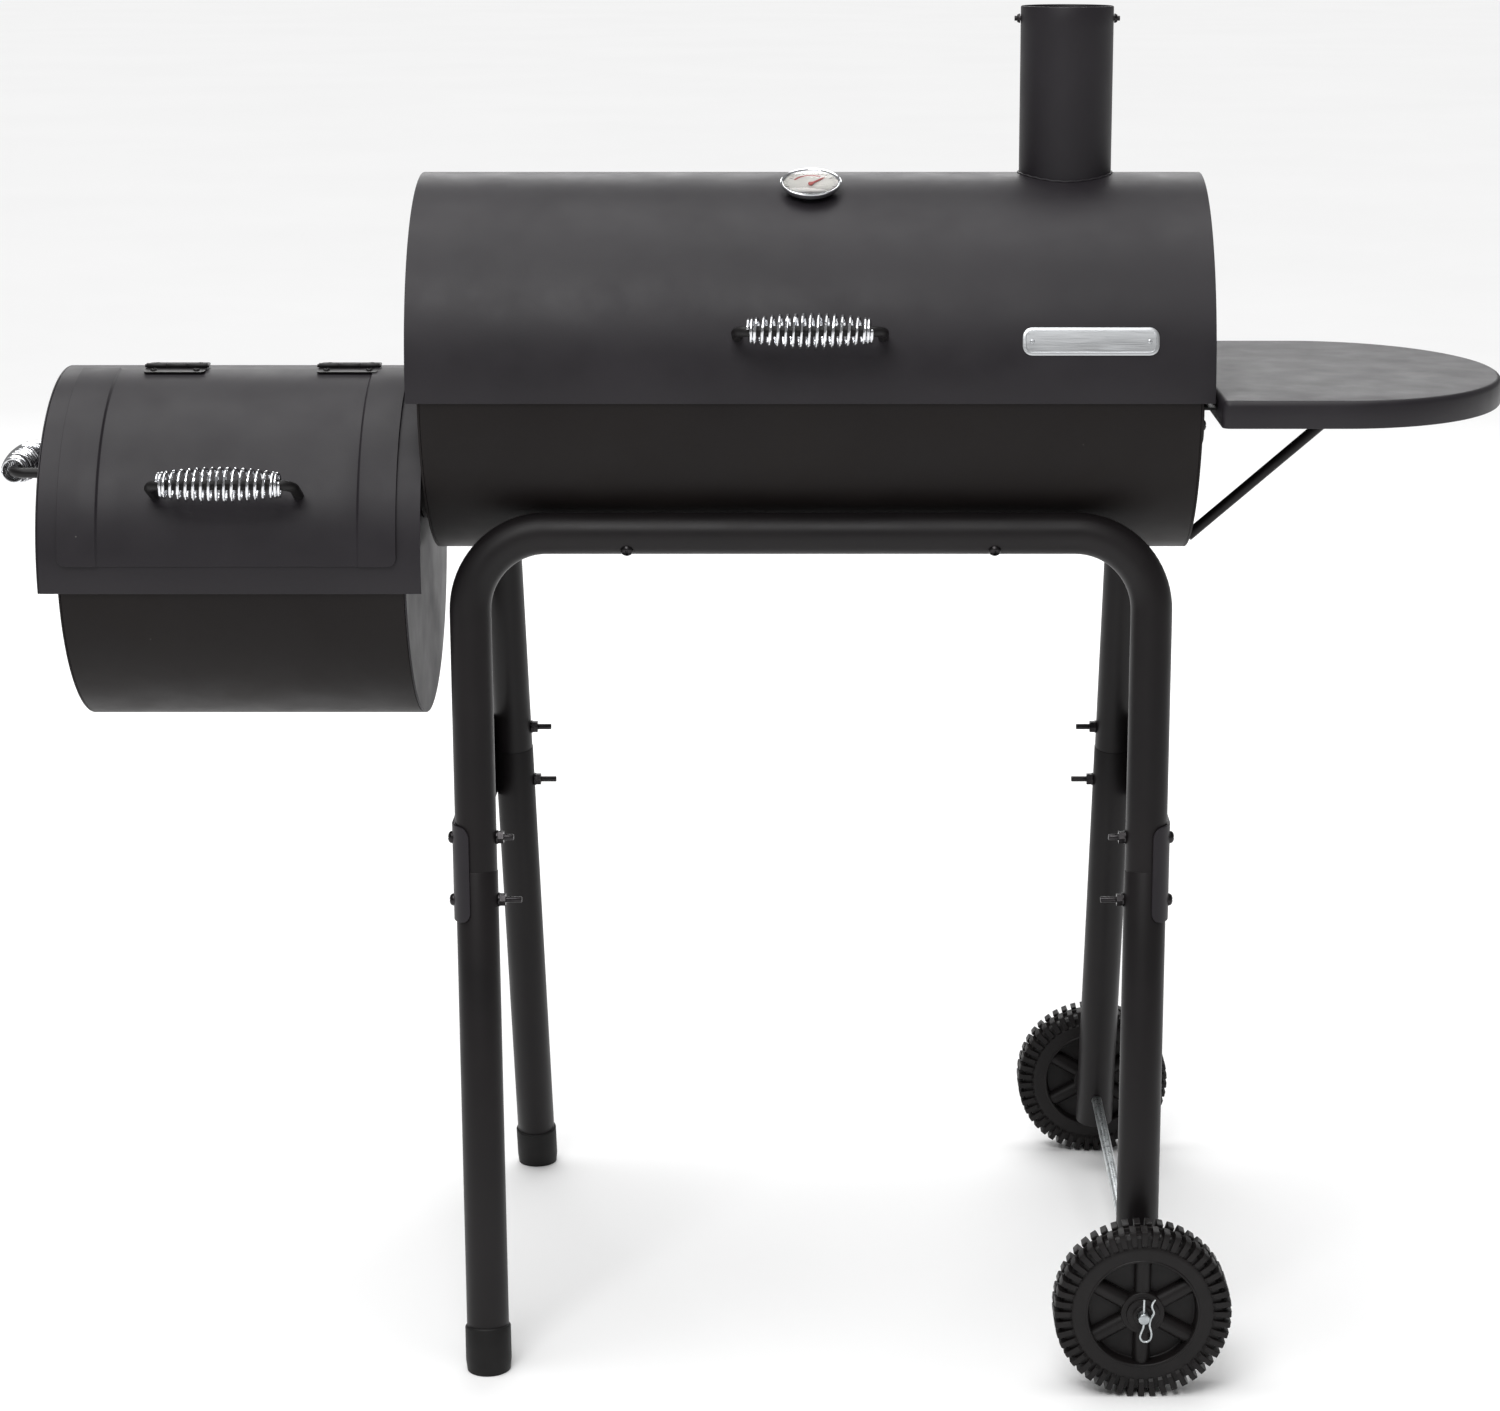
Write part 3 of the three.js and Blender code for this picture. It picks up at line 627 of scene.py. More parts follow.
lidEdge = {"rise": 0.004, "skirt": 0.0145, "hem": 4.5, "rearCut": 0.024}
rear = math.degrees(math.asin(lidEdge["rise"] / lid["radius"]))
front = 180 + math.degrees(math.asin(lidEdge["skirt"] / lid["radius"]))
outline = arcYZ(lid["radius"], barrelAxis, rear, front, 90)
outline += arcYZ(lid["radius"] - 2 * lid["sheet"], barrelAxis, front, front - lidEdge["hem"], 4)
outline += arcYZ(lid["radius"] - lid["sheet"], barrelAxis, front - lidEdge["hem"] - 0.3, rear, 88)
lidSheet = put("lidSheet", drawnOut("lid", outline, lid["left"] + 0.0003, lid["right"] - 0.0003),
               "main_lid", sheetPaint, ["lid_shell"], bevel=0.0004)
bow = arcYZ(lid["radius"] - lid["sheet"] - 0.0002, barrelAxis, rear, front, 90)
bow.append((lid["radius"] - lidEdge["rearCut"], barrelAxis - lidEdge["skirt"]))
for name, node in (("lidEndLeft", "lid_end_left"), ("lidEndRight", "lid_end_right")):
    low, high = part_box(node)
    plate = drawnOut(name, bow, low.x + 0.0003, high.x - 0.0003)
    put(name, plate, "main_lid", sheetPaint, [node], bevel=0.0004)

chimney = {"sheet": 0.0015, "weld": 0.0012}
pipeLow, pipeHigh, pipeMid, pipeSize = span("chimney")
pipeRadius = pipeSize.x / 2


def saddle(y):
    # height of the lid's sheet that far behind its middle line
    return barrelAxis + math.sqrt(lid["radius"] ** 2 - y ** 2)


def chimneyPipe():
    inner = pipeRadius - chimney["sheet"]
    top = pipeHigh.z
    rings = []
    for i in range(72):
        angle = math.tau * i / 72
        c, s = math.cos(angle), math.sin(angle)
        seat = saddle(pipeRadius * s) + 0.0002
        outside = [(pipeRadius, seat), (pipeRadius, seat + 0.01), (pipeRadius, top - 0.02),
                   (pipeRadius, top - 0.0012)]
        rim = [(pipeRadius - 0.0004, top - 0.0002), (inner + 0.0004, top)]
        heights = outside + rim + [(inner, top - 0.001), (inner, seat + 0.01), (inner, seat)]
        rings.append([Vector((pipeMid.x + r * c, r * s, z)) for r, z in heights])
    return meshOf("pipe", *bridged(rings, loop=True))


put("chimneyPipe", chimneyPipe(), "main_lid", sheetPaint, ["chimney"])
weldPath = []
for i in range(96):
    angle = math.tau * i / 96
    ripple = 0.0003 * math.sin(24 * angle)  # the bead's own beat
    reach = pipeRadius + 0.0006
    y = reach * math.sin(angle)
    weldPath.append((pipeMid.x + reach * math.cos(angle), y, saddle(y) + 0.0004 + ripple))
put("chimneyWeld", swept("weld", weldPath, chimney["weld"], 10, loop=True), "main_lid", sheetPaint)
flue = slab("flue", roundRing(pipeRadius - 0.003, 64), 0.2)
flue.transform(Matrix.Translation((pipeMid.x, 0, barrelAxis + 0.1)))
cutBy(lidSheet, flue)

damper = {"dome": 0.0012, "head": 0.0045}
rodLow, rodHigh, rodMid, rodSize = span("damper_rod")
flapLow, flapHigh, flapMid, flapSize = span("damper_plate")
flapProfile = [(0, 0.0015 + damper["dome"]), (flapSize.x * 0.3, 0.0015 + damper["dome"] * 0.7),
               (flapSize.x / 2 - 0.001, 0.0015), (flapSize.x / 2, 0.0008), (flapSize.x / 2 - 0.0008, 0),
               (0, 0)]
put("damperFlap", lathe("flap", flapProfile, 56), "chimney_damper", smallPaint, ["damper_plate"],
    Matrix.Translation((flapMid.x, 0, flapLow.z)))
rod = rodSize.z / 2
knob = [(0, 0), (damper["head"], 0), (damper["head"], 0.0012), (damper["head"] * 0.8, 0.0028),
        (0, 0.0034)]
parts = [swept("rod", [(rodLow.x, 0, rodMid.z), (rodHigh.x, 0, rodMid.z)], rod * 0.8, 20)]
for side, x in ((-1, pipeMid.x - pipeRadius - 0.0006), (1, pipeMid.x + pipeRadius + 0.0006)):
    parts.append(moved(lathe("knob", knob, 28), aimed((x, 0, rodMid.z), (side, 0, 0))))
put("damperRod", joined("rod", parts), "chimney_damper", darkZinc, ["damper_rod"])
print("stage: lid and chimney made")


# handles: a bent black rod with a chromed spring for a grip

handle = {"half": 0.0685, "height": 0.038, "rod": 0.005, "bend": 0.014, "turns": 18, "wire": 0.0015,
          "coilHalf": 0.0575, "endRadius": 0.0108, "midRadius": 0.0161, "packed": 2}


def bentArch(feet, below, corners, inside, steps=12):
    # up from one foot, round a bend, across, round a second bend and down to the other foot
    reach = 0.552  # how far a quarter bend's handles reach towards its corner
    path = [Vector(feet[0])]
    for start, corner, end in ((below[0], corners[0], inside[0]), (inside[1], corners[1], below[1])):
        start, corner, end = Vector(start), Vector(corner), Vector(end)
        first, second = start.lerp(corner, reach), end.lerp(corner, reach)
        for i in range(steps + 1):
            t = i / steps
            u = 1 - t
            path.append(start * u ** 3 + first * 3 * u * u * t + second * 3 * u * t * t + end * t ** 3)
    path.append(Vector(feet[1]))
    return path


def handleRod():
    half, height, bend = handle["half"], handle["height"], handle["bend"]

    def pair(x, z):
        return [(-x, 0, z), (x, 0, z)]

    path = bentArch(pair(half, 0.0002), pair(half, height - bend), pair(half, height),
                    pair(half - bend, height))
    return swept("rod", path, handle["rod"], 20)


def handleSpring():
    # the first and last turns lie closer together than the rest
    turns, half = handle["turns"], handle["coilHalf"]
    packed = handle["packed"]
    close = 2 * handle["wire"] * 1.12
    open_ = (2 * half - 2 * packed * close) / (turns - 2 * packed)
    points = []
    steps = 24
    for i in range(turns * steps + 1):
        turn = i / steps
        x = -half + min(turn, packed) * close
        x += max(0.0, min(turn, turns - packed) - packed) * open_
        x += max(0.0, turn - (turns - packed)) * close
        share = 1 - (x / half) ** 2
        radius = handle["endRadius"] + (handle["midRadius"] - handle["endRadius"]) * share
        angle = math.tau * turn
        points.append((x, radius * math.sin(angle), handle["height"] + radius * math.cos(angle)))
    path, radii = roundEnded(points, handle["wire"], 0.0005)
    return swept("spring", path, radii, 10)


def placeOf(node, radius, axisZ):
    # a frame on a round sheet, under the middle of a node
    middle = span(node)[2]
    return onRound(radius, axisZ, math.degrees(math.atan2(middle.z - axisZ, -middle.y)), middle.x)


def handlePieces(word, place, body):
    put(word + "HandleRod", handleRod(), body, smallPaint, [word + "_handle_rod"], place)
    put(word + "HandleSpring", handleSpring(), body, chrome, [word + "_handle_coil"], place)


doorRadius = hood["radius"] + 0.0018
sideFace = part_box("side_door")[0].x
sideHeight = span("side_handle_coil")[2].z
sidePlace = Matrix(((0, 0, -1, sideFace), (1, 0, 0, 0), (0, -1, 0, sideHeight), (0, 0, 0, 1)))
handlePieces("lid", placeOf("lid_handle_coil", lid["radius"], barrelAxis), "main_lid")
handlePieces("door", placeOf("door_handle_coil", doorRadius, fireAxis), "firebox_door")
handlePieces("side", sidePlace, "end_door")
print("stage: handles made")


# thermometer on the lid, its dial under a lens

gauge = {"marks": 28, "sweep": 270, "reading": -45, "markEdge": 0.0236, "long": (0.0036, 0.0007),
         "short": (0.002, 0.0004)}
gaugePlace = placeOf("gauge_dial", lid["radius"], barrelAxis)
caseProfile = [(0, -70), (2.5, -69), (3, -66), (3, -3), (8, -3), (8, 0.4), (21, 0.6), (24.5, 2),
               (27.4, 5.4), (28.8, 7.4), (29.5, 9), (29.3, 10.1), (28.5, 10.7), (27.4, 10.5),
               (26.5, 9.6), (26.2, 8.4), (26.2, 6.2), (0, 6.2)]
put("thermometerCase", lathed("case", caseProfile, 72), "main_lid", chrome, ["gauge_case"], gaugePlace)
dialProfile = [(0, 6.25), (26.1, 6.25), (26.1, 6.6), (0, 6.6)]
put("thermometerDial", lathed("dial", dialProfile, 64), "main_lid", dialWhite, ["gauge_dial"],
    gaugePlace)
lensProfile = [(0, 8.7), (26.0, 8.7), (26.0, 9.5), (25.2, 9.8), (0, 9.9)]
put("thermometerLens", lathed("lens", lensProfile, 64), "main_lid", lensGlass, place=gaugePlace)


def dialMarks():
    parts = []
    for i in range(gauge["marks"] + 1):
        angle = math.radians(225 - gauge["sweep"] * i / gauge["marks"])
        long, wide = gauge["short"] if i % 4 else gauge["long"]
        mark = slab("mark", rectangle(long, wide), 0.00006)
        shift = Matrix.Translation((gauge["markEdge"] - long / 2, 0, 0.00661))
        parts.append(moved(mark, Matrix.Rotation(angle, 4, "Z") @ shift))
    return joined("marks", parts)


def dialBand(inner, outer, start, end):
    outline = arcPoints((0, 0), outer, start, end, 24) + arcPoints((0, 0), inner, end, start, 24)
    band = slab("band", outline, 0.00005)
    band.transform(Matrix.Translation((0, 0, 0.00661)))
    return band


put("thermometerMarks", dialMarks(), "main_lid", dialInk, place=gaugePlace)
put("thermometerBand", dialBand(0.0165, 0.0186, 60, 150), "main_lid", dialRed, place=gaugePlace)
tip = [(0.0012, 0.0035), (0.0009, 0.014), (0, 0.0185), (-0.0009, 0.014), (-0.0012, 0.0035)]
overDial = Matrix.Translation((0, 0, 0.0072))
arm = moved(slab("arm", arcPoints((0, 0), 0.0026, 200, 340, 8) + tip, 0.0004), overDial)
hub = moved(lathed("hub", [(0, 0), (2.6, 0), (2.6, 0.8), (1.8, 1.2), (0, 1.3)], 28), overDial)
put("thermometerPointer", joined("pointer", [arm, hub]), "gauge_hand", pointerRed, ["gauge_needle"],
    gaugePlace @ Matrix.Rotation(math.radians(gauge["reading"]), 4, "Z"))

badge = {"width": 0.128, "height": 0.026, "corner": 0.009, "thick": 0.0013, "x": 0.263, "angle": 13.6,
         "border": 0.0028}


def wrappedPlate():
    # a plain plate bent to the lid, with a raised border round a sunken face
    width, height = badge["width"], badge["height"]
    thick = badge["thick"]
    rows = [(0, 0.0), (0, thick * 0.8), (0.0004, thick), (badge["border"], thick),
            (badge["border"] + 0.0006, thick * 0.5)]
    rings = []
    for inset, z in rows:
        radius = max(badge["corner"] - inset, 0.002)
        shape = roundedBox(width - 2 * inset, height - 2 * inset, radius)
        rings.append([Vector((x, y, z)) for x, y in shape])
    flat = rings[-1]
    for share in (0.8, 0.6, 0.4, 0.2, 0.02):
        rings.append([Vector((p.x * (0.75 + 0.25 * share), p.y * share, p.z)) for p in flat])
    points, faces = bridged(rings, closeEnds=True)
    centre = math.radians(badge["angle"])
    for point in points:
        reach = lid["radius"] + point.z
        angle = centre + point.y / lid["radius"]
        point.x += barrel["x"] + badge["x"]
        point.y, point.z = -reach * math.cos(angle), barrelAxis + reach * math.sin(angle)
    return meshOf("badge", points, faces)


put("plainBadge", wrappedPlate(), "main_lid", badgeMetal)
rivets = []
for x in (-0.055, 0.055):
    place = onRound(lid["radius"] + 0.0006, barrelAxis, badge["angle"], barrel["x"] + badge["x"] + x)
    rivets.append(moved(domeHead(0.0022, 0.0012, 0.0003), place))
put("badgeRivets", joined("rivets", rivets), "main_lid", badgeMetal)
print("stage: thermometer and badge made")


# firebox

outline = troughOutline(firebox["radius"], fireAxis, firebox["sheet"], 0, 0)
low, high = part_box("firebox_shell")
put("fireboxTrough", drawnOut("trough", outline, low.x, high.x), "stand", drumPaintWithPaintedShade, ["firebox_shell"],
    bevel=0.0004)
low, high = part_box("firebox_end_right")
plate = slab("plate", arcYZ(firebox["radius"], fireAxis, 0, 360)[:-1], high.x - low.x, [throatHole])
put("fireboxEndRight", moved(plate, Matrix.Translation((low.x, 0, 0)) @ alongX), "stand", sheetPaint,
    ["firebox_end_right"], bevel=0.0005)
low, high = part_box("firebox_end_left")
airHole = arcPoints((0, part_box("vent_shutter")[0].z + 0.026), 0.022, 0, 360, 40)[:-1]
plate = slab("plate", arcYZ(firebox["radius"], fireAxis, 180, 360), high.x - low.x, [airHole])
put("fireboxEndLeft", moved(plate, Matrix.Translation((low.x, 0, 0)) @ alongX), "stand", drumPaintWithPaintedShade,
    ["firebox_end_left"], bevel=0.0005)
ring = [(0.062, 0), (0.066, 0), (0.066, throatSize.x), (0.062, throatSize.x)]
put("throatCollar", lathe("collar", ring, 56, ring=True), "stand", drumPaintWithPaintedShade, ["throat_collar"],
    aimed((throatLow.x, 0, throatMid.z), (1, 0, 0)), bevel=0.0005)

low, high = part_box("vent_shutter")
tear = arcPoints((0, low.z + 0.026), 0.026, 165, 375, 40)
tear += arcPoints((0, high.z - 0.012), 0.012, 15, 165, 16)
shutter = drawnOut("shutter", tear, low.x, high.x)
screw = moved(domeHead(0.005, 0.0028, 0.0006), aimed((low.x, 0, high.z - 0.012), (-1, 0, 0)))
knob = lathed("knob", [(0, 0), (4, 0), (4, 8), (6, 10), (6, 15), (5, 16.5), (0, 17)], 28)
knob.transform(aimed((low.x, 0, low.z + 0.014), (-1, 0, 0)))
put("airShutter", shutter, "air_shutter", smallPaint, ["vent_shutter"], bevel=0.0004)
put("airShutterKnob", joined("knob", [screw, knob]), "air_shutter", darkZinc)

hoodCut = {"doorLeft": -0.6319, "doorRight": -0.3669, "low": 12, "high": 72, "notchX": -0.3264,
           "notchZ": 0.925}
skirt = math.degrees(math.asin((fireAxis - hood["low"]) / hood["radius"]))
notch = math.degrees(math.asin((hoodCut["notchZ"] - fireAxis) / hood["radius"]))
low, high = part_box("firebox_hood")


def hoodHole(x, degrees):
    inDoor = hoodCut["doorLeft"] < x < hoodCut["doorRight"] and hoodCut["low"] < degrees < hoodCut["high"]
    return inDoor or (x > hoodCut["notchX"] and notch < degrees < 180 - notch)


xs = through([low.x, hoodCut["doorLeft"], hoodCut["doorRight"], hoodCut["notchX"], high.x], 0.1)
turns = through([-skirt, hoodCut["low"], notch, hoodCut["high"], 180 - notch, 180 + skirt], 2)
put("fireboxHood", bentGrid("hood", xs, turns, hood["radius"], fireAxis, hole=hoodHole), "stand",
    sheetPaint, ["firebox_hood"], sheet=hood["sheet"], bevel=0.0004, closed=False)

endDoor = {"hole": (0.168, 0.101), "holeZ": 0.8285, "corner": 0.01, "half": 0.095, "low": 0.767,
           "top": 0.89, "knuckle": 0.0034, "inner": 0.06, "outer": 0.079, "emboss": 0.0012,
           "margin": 0.011}
low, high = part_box("hood_end_left")
pinLow, pinHigh, pinMid, pinSize = span("side_door_pin")
outline = arcYZ(hood["radius"], fireAxis, -skirt, 180 + skirt, 84)
opening = [(y, endDoor["holeZ"] + z) for y, z in roundedBox(*endDoor["hole"], endDoor["corner"])]
plate = slab("plate", outline, hood["sheet"], [opening])
put("hoodEndLeft", moved(plate, Matrix.Translation((high.x - hood["sheet"], 0, 0)) @ alongX), "stand",
    sheetPaint, ["hood_end_left"], bevel=0.0004)


def knuckles(stretches, reach):
    # rolled barrels of a hinge along Y, each with a strap back to its sheet
    parts = []
    for start, end in stretches:
        path, radii = roundEnded([(pinMid.x, start, pinMid.z), (pinMid.x, end, pinMid.z)],
                                 endDoor["knuckle"], 0.0004)
        parts.append(swept("knuckle", path, radii, 24))
        strap = slab("strap", [(start, 0), (end, 0), (end, reach[2]), (start, reach[2])], 0.0015)
        parts.append(moved(strap, Matrix.Translation((reach[0], 0, reach[1])) @ alongX))
    return joined("knuckles", parts)


outer = [(-endDoor["outer"], -endDoor["inner"] - 0.0003), (endDoor["inner"] + 0.0003, endDoor["outer"])]
reach = (high.x - hood["sheet"] - 0.0012, pinMid.z - 0.0034, 0.006)
put("endDoorHingeFixed", knuckles(outer, reach), "stand", smallPaint, bevel=0.0003)
pinPath = [(pinMid.x, pinLow.y, pinMid.z), (pinMid.x, pinHigh.y, pinMid.z)]
put("endDoorPin", swept("pin", pinPath, pinSize.x / 2, 20), "stand", darkZinc, ["side_door_pin"])

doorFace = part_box("side_door")[1].x


def endDoorPlate():
    # a flat plate with a pressed, raised field inside its margin
    width = 2 * endDoor["half"]
    height = endDoor["top"] - endDoor["low"]
    rows = [(0, 0.0), (0, 0.0015), (endDoor["margin"], 0.0015),
            (endDoor["margin"] + 0.003, 0.0015 + endDoor["emboss"])]
    middleZ = (endDoor["low"] + endDoor["top"]) / 2
    rings = []
    for inset, x in rows:
        corner = max(0.008 - inset * 0.3, 0.004)
        shape = roundedBox(width - 2 * inset, height - 2 * inset, corner)
        rings.append([Vector((doorFace - x, y, middleZ + z)) for y, z in shape])
    return meshOf("plate", *bridged(rings, closeEnds=True))


put("endDoorPlate", endDoorPlate(), "end_door", sheetPaint, ["side_door"], bevel=0.0003)
reach = (doorFace - 0.0015, pinMid.z, endDoor["low"] - pinMid.z + 0.002)
put("endDoorKnuckle", knuckles([(-endDoor["inner"], endDoor["inner"])], reach), "end_door", smallPaint,
    bevel=0.0003)

doorSheet = {"low": 3, "high": 83, "raise": 0.0018, "stepLeft": 0.036, "stepRight": 0.035,
             "ramp": 0.003, "corner": 0.008}
low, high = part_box("door_panel")
doorLeft, doorRight = low.x, high.x
stepLeft, stepRight = doorLeft + doorSheet["stepLeft"], doorRight - doorSheet["stepRight"]


def eased(value):
    value = min(1, max(0, value))
    return value * value * (3 - 2 * value)


def doorLift(x, degrees):
    # the side margins are pressed a little higher than the field between them
    left = 1 - eased((x - stepLeft) / doorSheet["ramp"])
    right = eased((x - stepRight + doorSheet["ramp"]) / doorSheet["ramp"])
    return doorSheet["raise"] * max(left, right)


def doorShift(x, degrees):
    # draws the lower corners in round
    inset = cornerInset(math.radians(degrees - doorSheet["low"]) * doorRadius, doorSheet["corner"])
    if x < stepLeft:
        return x + inset * (stepLeft - x) / (stepLeft - doorLeft)
    if x > stepRight:
        return x - inset * (x - stepRight) / (doorRight - stepRight)
    return x


ramp = doorSheet["ramp"]
xs = through([doorLeft, stepLeft], 0.02)
xs += [stepLeft + ramp * i / 6 for i in range(1, 7)] + [stepLeft + ramp + 0.02]
xs += [stepRight - ramp - 0.02] + [stepRight - ramp + ramp * i / 6 for i in range(7)]
xs += through([stepRight, doorRight], 0.02)[1:]
turns = [doorSheet["low"]]
for end, stride in ((doorSheet["low"] + 0.6, 0.15), (doorSheet["low"] + 5, 0.5), (doorSheet["high"], 1.6)):
    turns += through([turns[-1], end], stride)[1:]
put("fireboxDoor", bentGrid("door", xs, turns, doorRadius, fireAxis, lift=doorLift, shift=doorShift),
    "firebox_door", sheetPaint, ["door_panel"], sheet=0.0015, bevel=0.0004, closed=False)
print("stage: firebox made")


# butt hinges

hinge = {"half": 0.03, "split": 0.0102, "knuckle": 0.0026, "leaf": 0.0012, "reach": 0.02,
         "corner": 0.004, "screwX": 0.021, "screwY": 0.012, "screw": 0.0034}


def hingeLeaf(side):
    # side 1 has the outer knuckles, side -1 the middle one
    half, split, reach = hinge["half"], hinge["split"], hinge["reach"]
    clear = hinge["knuckle"] + 0.0005
    near, far = (0, clear) if side > 0 else (clear, 0)
    outline = [(-half, near), (-split, near), (-split, far), (split, far), (split, near), (half, near)]
    corner = hinge["corner"]
    outline += arcPoints((half - corner, reach - corner), corner, 0, 90, 6)
    outline += arcPoints((-half + corner, reach - corner), corner, 90, 180, 6)
    leaf = slab("leaf", [(x, side * y) for x, y in outline], hinge["leaf"])
    leaf.transform(Matrix.Translation((0, 0, -hinge["knuckle"])))
    parts = [leaf]
    outer, middle = [(-half, -split), (split, half)], [(-split + 0.0003, split - 0.0003)]
    for start, end in outer if side > 0 else middle:
        path, radii = roundEnded([(start, 0, 0), (end, 0, 0)], hinge["knuckle"], 0.0003)
        parts.append(swept("knuckle", path, radii, 20))
    for x in (-hinge["screwX"], hinge["screwX"]):
        head = domeHead(hinge["screw"], 0.0018, 0.0003)
        seat = Matrix.Translation((x, side * hinge["screwY"], hinge["leaf"] - hinge["knuckle"]))
        parts.append(moved(head, seat))
    return joined("leaf", parts)


def hingeSet(word, fixedWord, movingWord, pinWord, side, turn, body):
    nodes = [prefix + side for prefix in (fixedWord, movingWord, pinWord)]
    low, high, middle, size = span(nodes[2])
    place = Matrix.Translation(middle) @ Matrix.Rotation(math.radians(turn), 4, "X")
    pin = swept("pin", [(-size.x / 2, 0, 0), (size.x / 2, 0, 0)], size.y / 2, 16)
    name = word + side.title()
    put(name + "Fixed", hingeLeaf(1), "stand", smallPaint, nodes[:1], place, bevel=0.0002)
    put(name + "Moving", hingeLeaf(-1), body, smallPaint, nodes[1:2], place, bevel=0.0002)
    put(name + "Pin", pin, "stand", darkZinc, nodes[2:], place)


for side in ("left", "right"):
    hingeSet("lidHinge", "barrel_hinge_", "lid_hinge_", "lid_pin_", side, -90, "main_lid")
    hingeSet("doorHinge", "hood_hinge_", "door_hinge_", "door_pin_", side, 6, "firebox_door")
print("stage: hinges made")


# side shelf

shelf = {"straight": 0.116, "corner": 0.008, "hem": 0.006, "sheet": 0.0012, "bracketY": 0.15}
trayLow, trayHigh, trayMid, traySize = span("shelf_tray")


def shelfOutline():
    half = traySize.y / 2
    corner = shelf["corner"]
    bend = trayLow.x + shelf["straight"]
    reach = trayHigh.x - bend
    points = arcPoints((trayLow.x + corner, -half + corner), corner, 180, 270, 8)
    for i in range(65):
        angle = math.radians(-90 + 180 * i / 64)
        points.append((bend + reach * math.cos(angle), half * math.sin(angle)))
    return points + arcPoints((trayLow.x + corner, half - corner), corner, 90, 180, 8)


def drawnIn(points, amount):
    # the outline moved inward along its own normals
    made = []
    for i, (x, y) in enumerate(points):
        before, after = Vector(points[i - 1]), Vector(points[(i + 1) % len(points)])
        along = (after - before).normalized()
        made.append((x - along.y * amount, y + along.x * amount))
    return made


outline = shelfOutline()
skirtRows = [(shelf["hem"], 0.0004), (0.0006, 0), (0, 0.0008), (0, 0.0205)]
rimRows = [(0.0006, 0.0229), (0.0019, 0.0247), (0.0034, 0.0256), (0.0052, 0.026)]
rings = []
for inset, rise in skirtRows + rimRows:
    rings.append([Vector((x, y, trayLow.z + rise)) for x, y in drawnIn(outline, inset)])
points, faces = bridged(rings)
faces.append(tuple(range(len(points) - len(outline), len(points))))
put("shelfTray", meshOf("tray", points, faces), "stand", sheetPaint, ["shelf_tray"],
    sheet=shelf["sheet"], closed=False, sharp=60)

foot, head = (0.4351, 0, 0.776), (0.6181, 0, 0.935)
path, radii = roundEnded([foot, head], 0.0055, 0.0008)
put("shelfStrut", swept("strut", path, radii, 24), "stand", tubePaintWithPaintedShade, ["shelf_strut"])


def bracket(y):
    # an angle bolted to the barrel's end, its arm under the tray's edge
    face = barrel["right"]
    half = 0.015
    foot = arcPoints((0, half), half, 180, 360, 16)
    plate = moved(slab("plate", [(-half, 0.036), *foot, (half, 0.036)], 0.0025),
                  Matrix.Translation((face, y, 0.895)) @ alongX)
    end = trayLow.x + 0.001
    arm = slab("arm", [(face, y - half), (end, y - half), (end, y + half), (face, y + half)], 0.0025)
    arm.transform(Matrix.Translation((0, 0, 0.9285)))
    return joined("bracket", [plate, arm])


for side, y in (("Front", -shelf["bracketY"]), ("Rear", shelf["bracketY"])):
    put("shelfBracket" + side, bracket(y), "stand", smallPaint, bevel=0.0004)
    put("shelfBolt" + side, domeHead(0.0055, 0.0034, 0.0006), "stand", darkZinc,
        place=aimed((barrel["right"] + 0.0025, y, 0.912), (1, 0, 0)))
print("stage: shelf made")


# stand: two bent tubes, four sleeve legs, two side plates

stand = {"x": 0.0581, "radius": 0.02, "sleeve": 0.0205, "top": 0.8068, "topX": 0.3287, "footX": 0.3156,
         "topY": 0.1463, "lean": 9.13, "bend": 0.075, "cap": 0.0223, "capHeight": 0.042}


def legSpot(sideX, sideY, z):
    # the middle of a leg at that height
    x = stand["footX"] + (stand["topX"] - stand["footX"]) * z / stand["top"]
    y = stand["topY"] + math.tan(math.radians(stand["lean"])) * (stand["top"] - z)
    return Vector((stand["x"] + sideX * x, sideY * y, z))


def legWay(sideX, sideY):
    return (legSpot(sideX, sideY, 0) - legSpot(sideX, sideY, 0.8)).normalized()


def frameTube(sideY, bottom):
    corners = [legSpot(-1, sideY, stand["top"]), legSpot(1, sideY, stand["top"])]
    feet = [legSpot(-1, sideY, bottom), legSpot(1, sideY, bottom)]
    below = [corners[0] + legWay(-1, sideY) * stand["bend"],
             corners[1] + legWay(1, sideY) * stand["bend"]]
    inside = [corners[0] + Vector((stand["bend"], 0, 0)), corners[1] - Vector((stand["bend"], 0, 0))]
    return swept("frame", bentArch(feet, below, corners, inside, 20), stand["radius"], 40)


def sleeveLeg(sideX, sideY, top, bottom):
    # slides over the end of the frame's tube, so its top edge shows as a fine line
    start, way = legSpot(sideX, sideY, top), legWay(sideX, sideY)
    path, radii = roundEnded([start, start + way * (top - bottom) / -way.z], stand["sleeve"], 0.0004)
    return swept("leg", path, radii, 40)


def footCap(sideY):
    way = legWay(-1, sideY)
    top = legSpot(-1, sideY, stand["capHeight"] + 0.002)
    stops = [(0, -0.002), (0.0006, -0.0006), (0.002, 0), (0.034, 0), (0.0385, -0.0012)]
    path = [top + way * reach for reach, extra in stops]
    mesh = swept("cap", path, [stand["cap"] + extra for reach, extra in stops], 40)
    count = len(mesh.vertices)
    for vert in mesh.vertices:
        if vert.index >= count - 40:
            vert.co.z = 0.0004
        vert.co.z = max(vert.co.z, 0.0004)
    return mesh


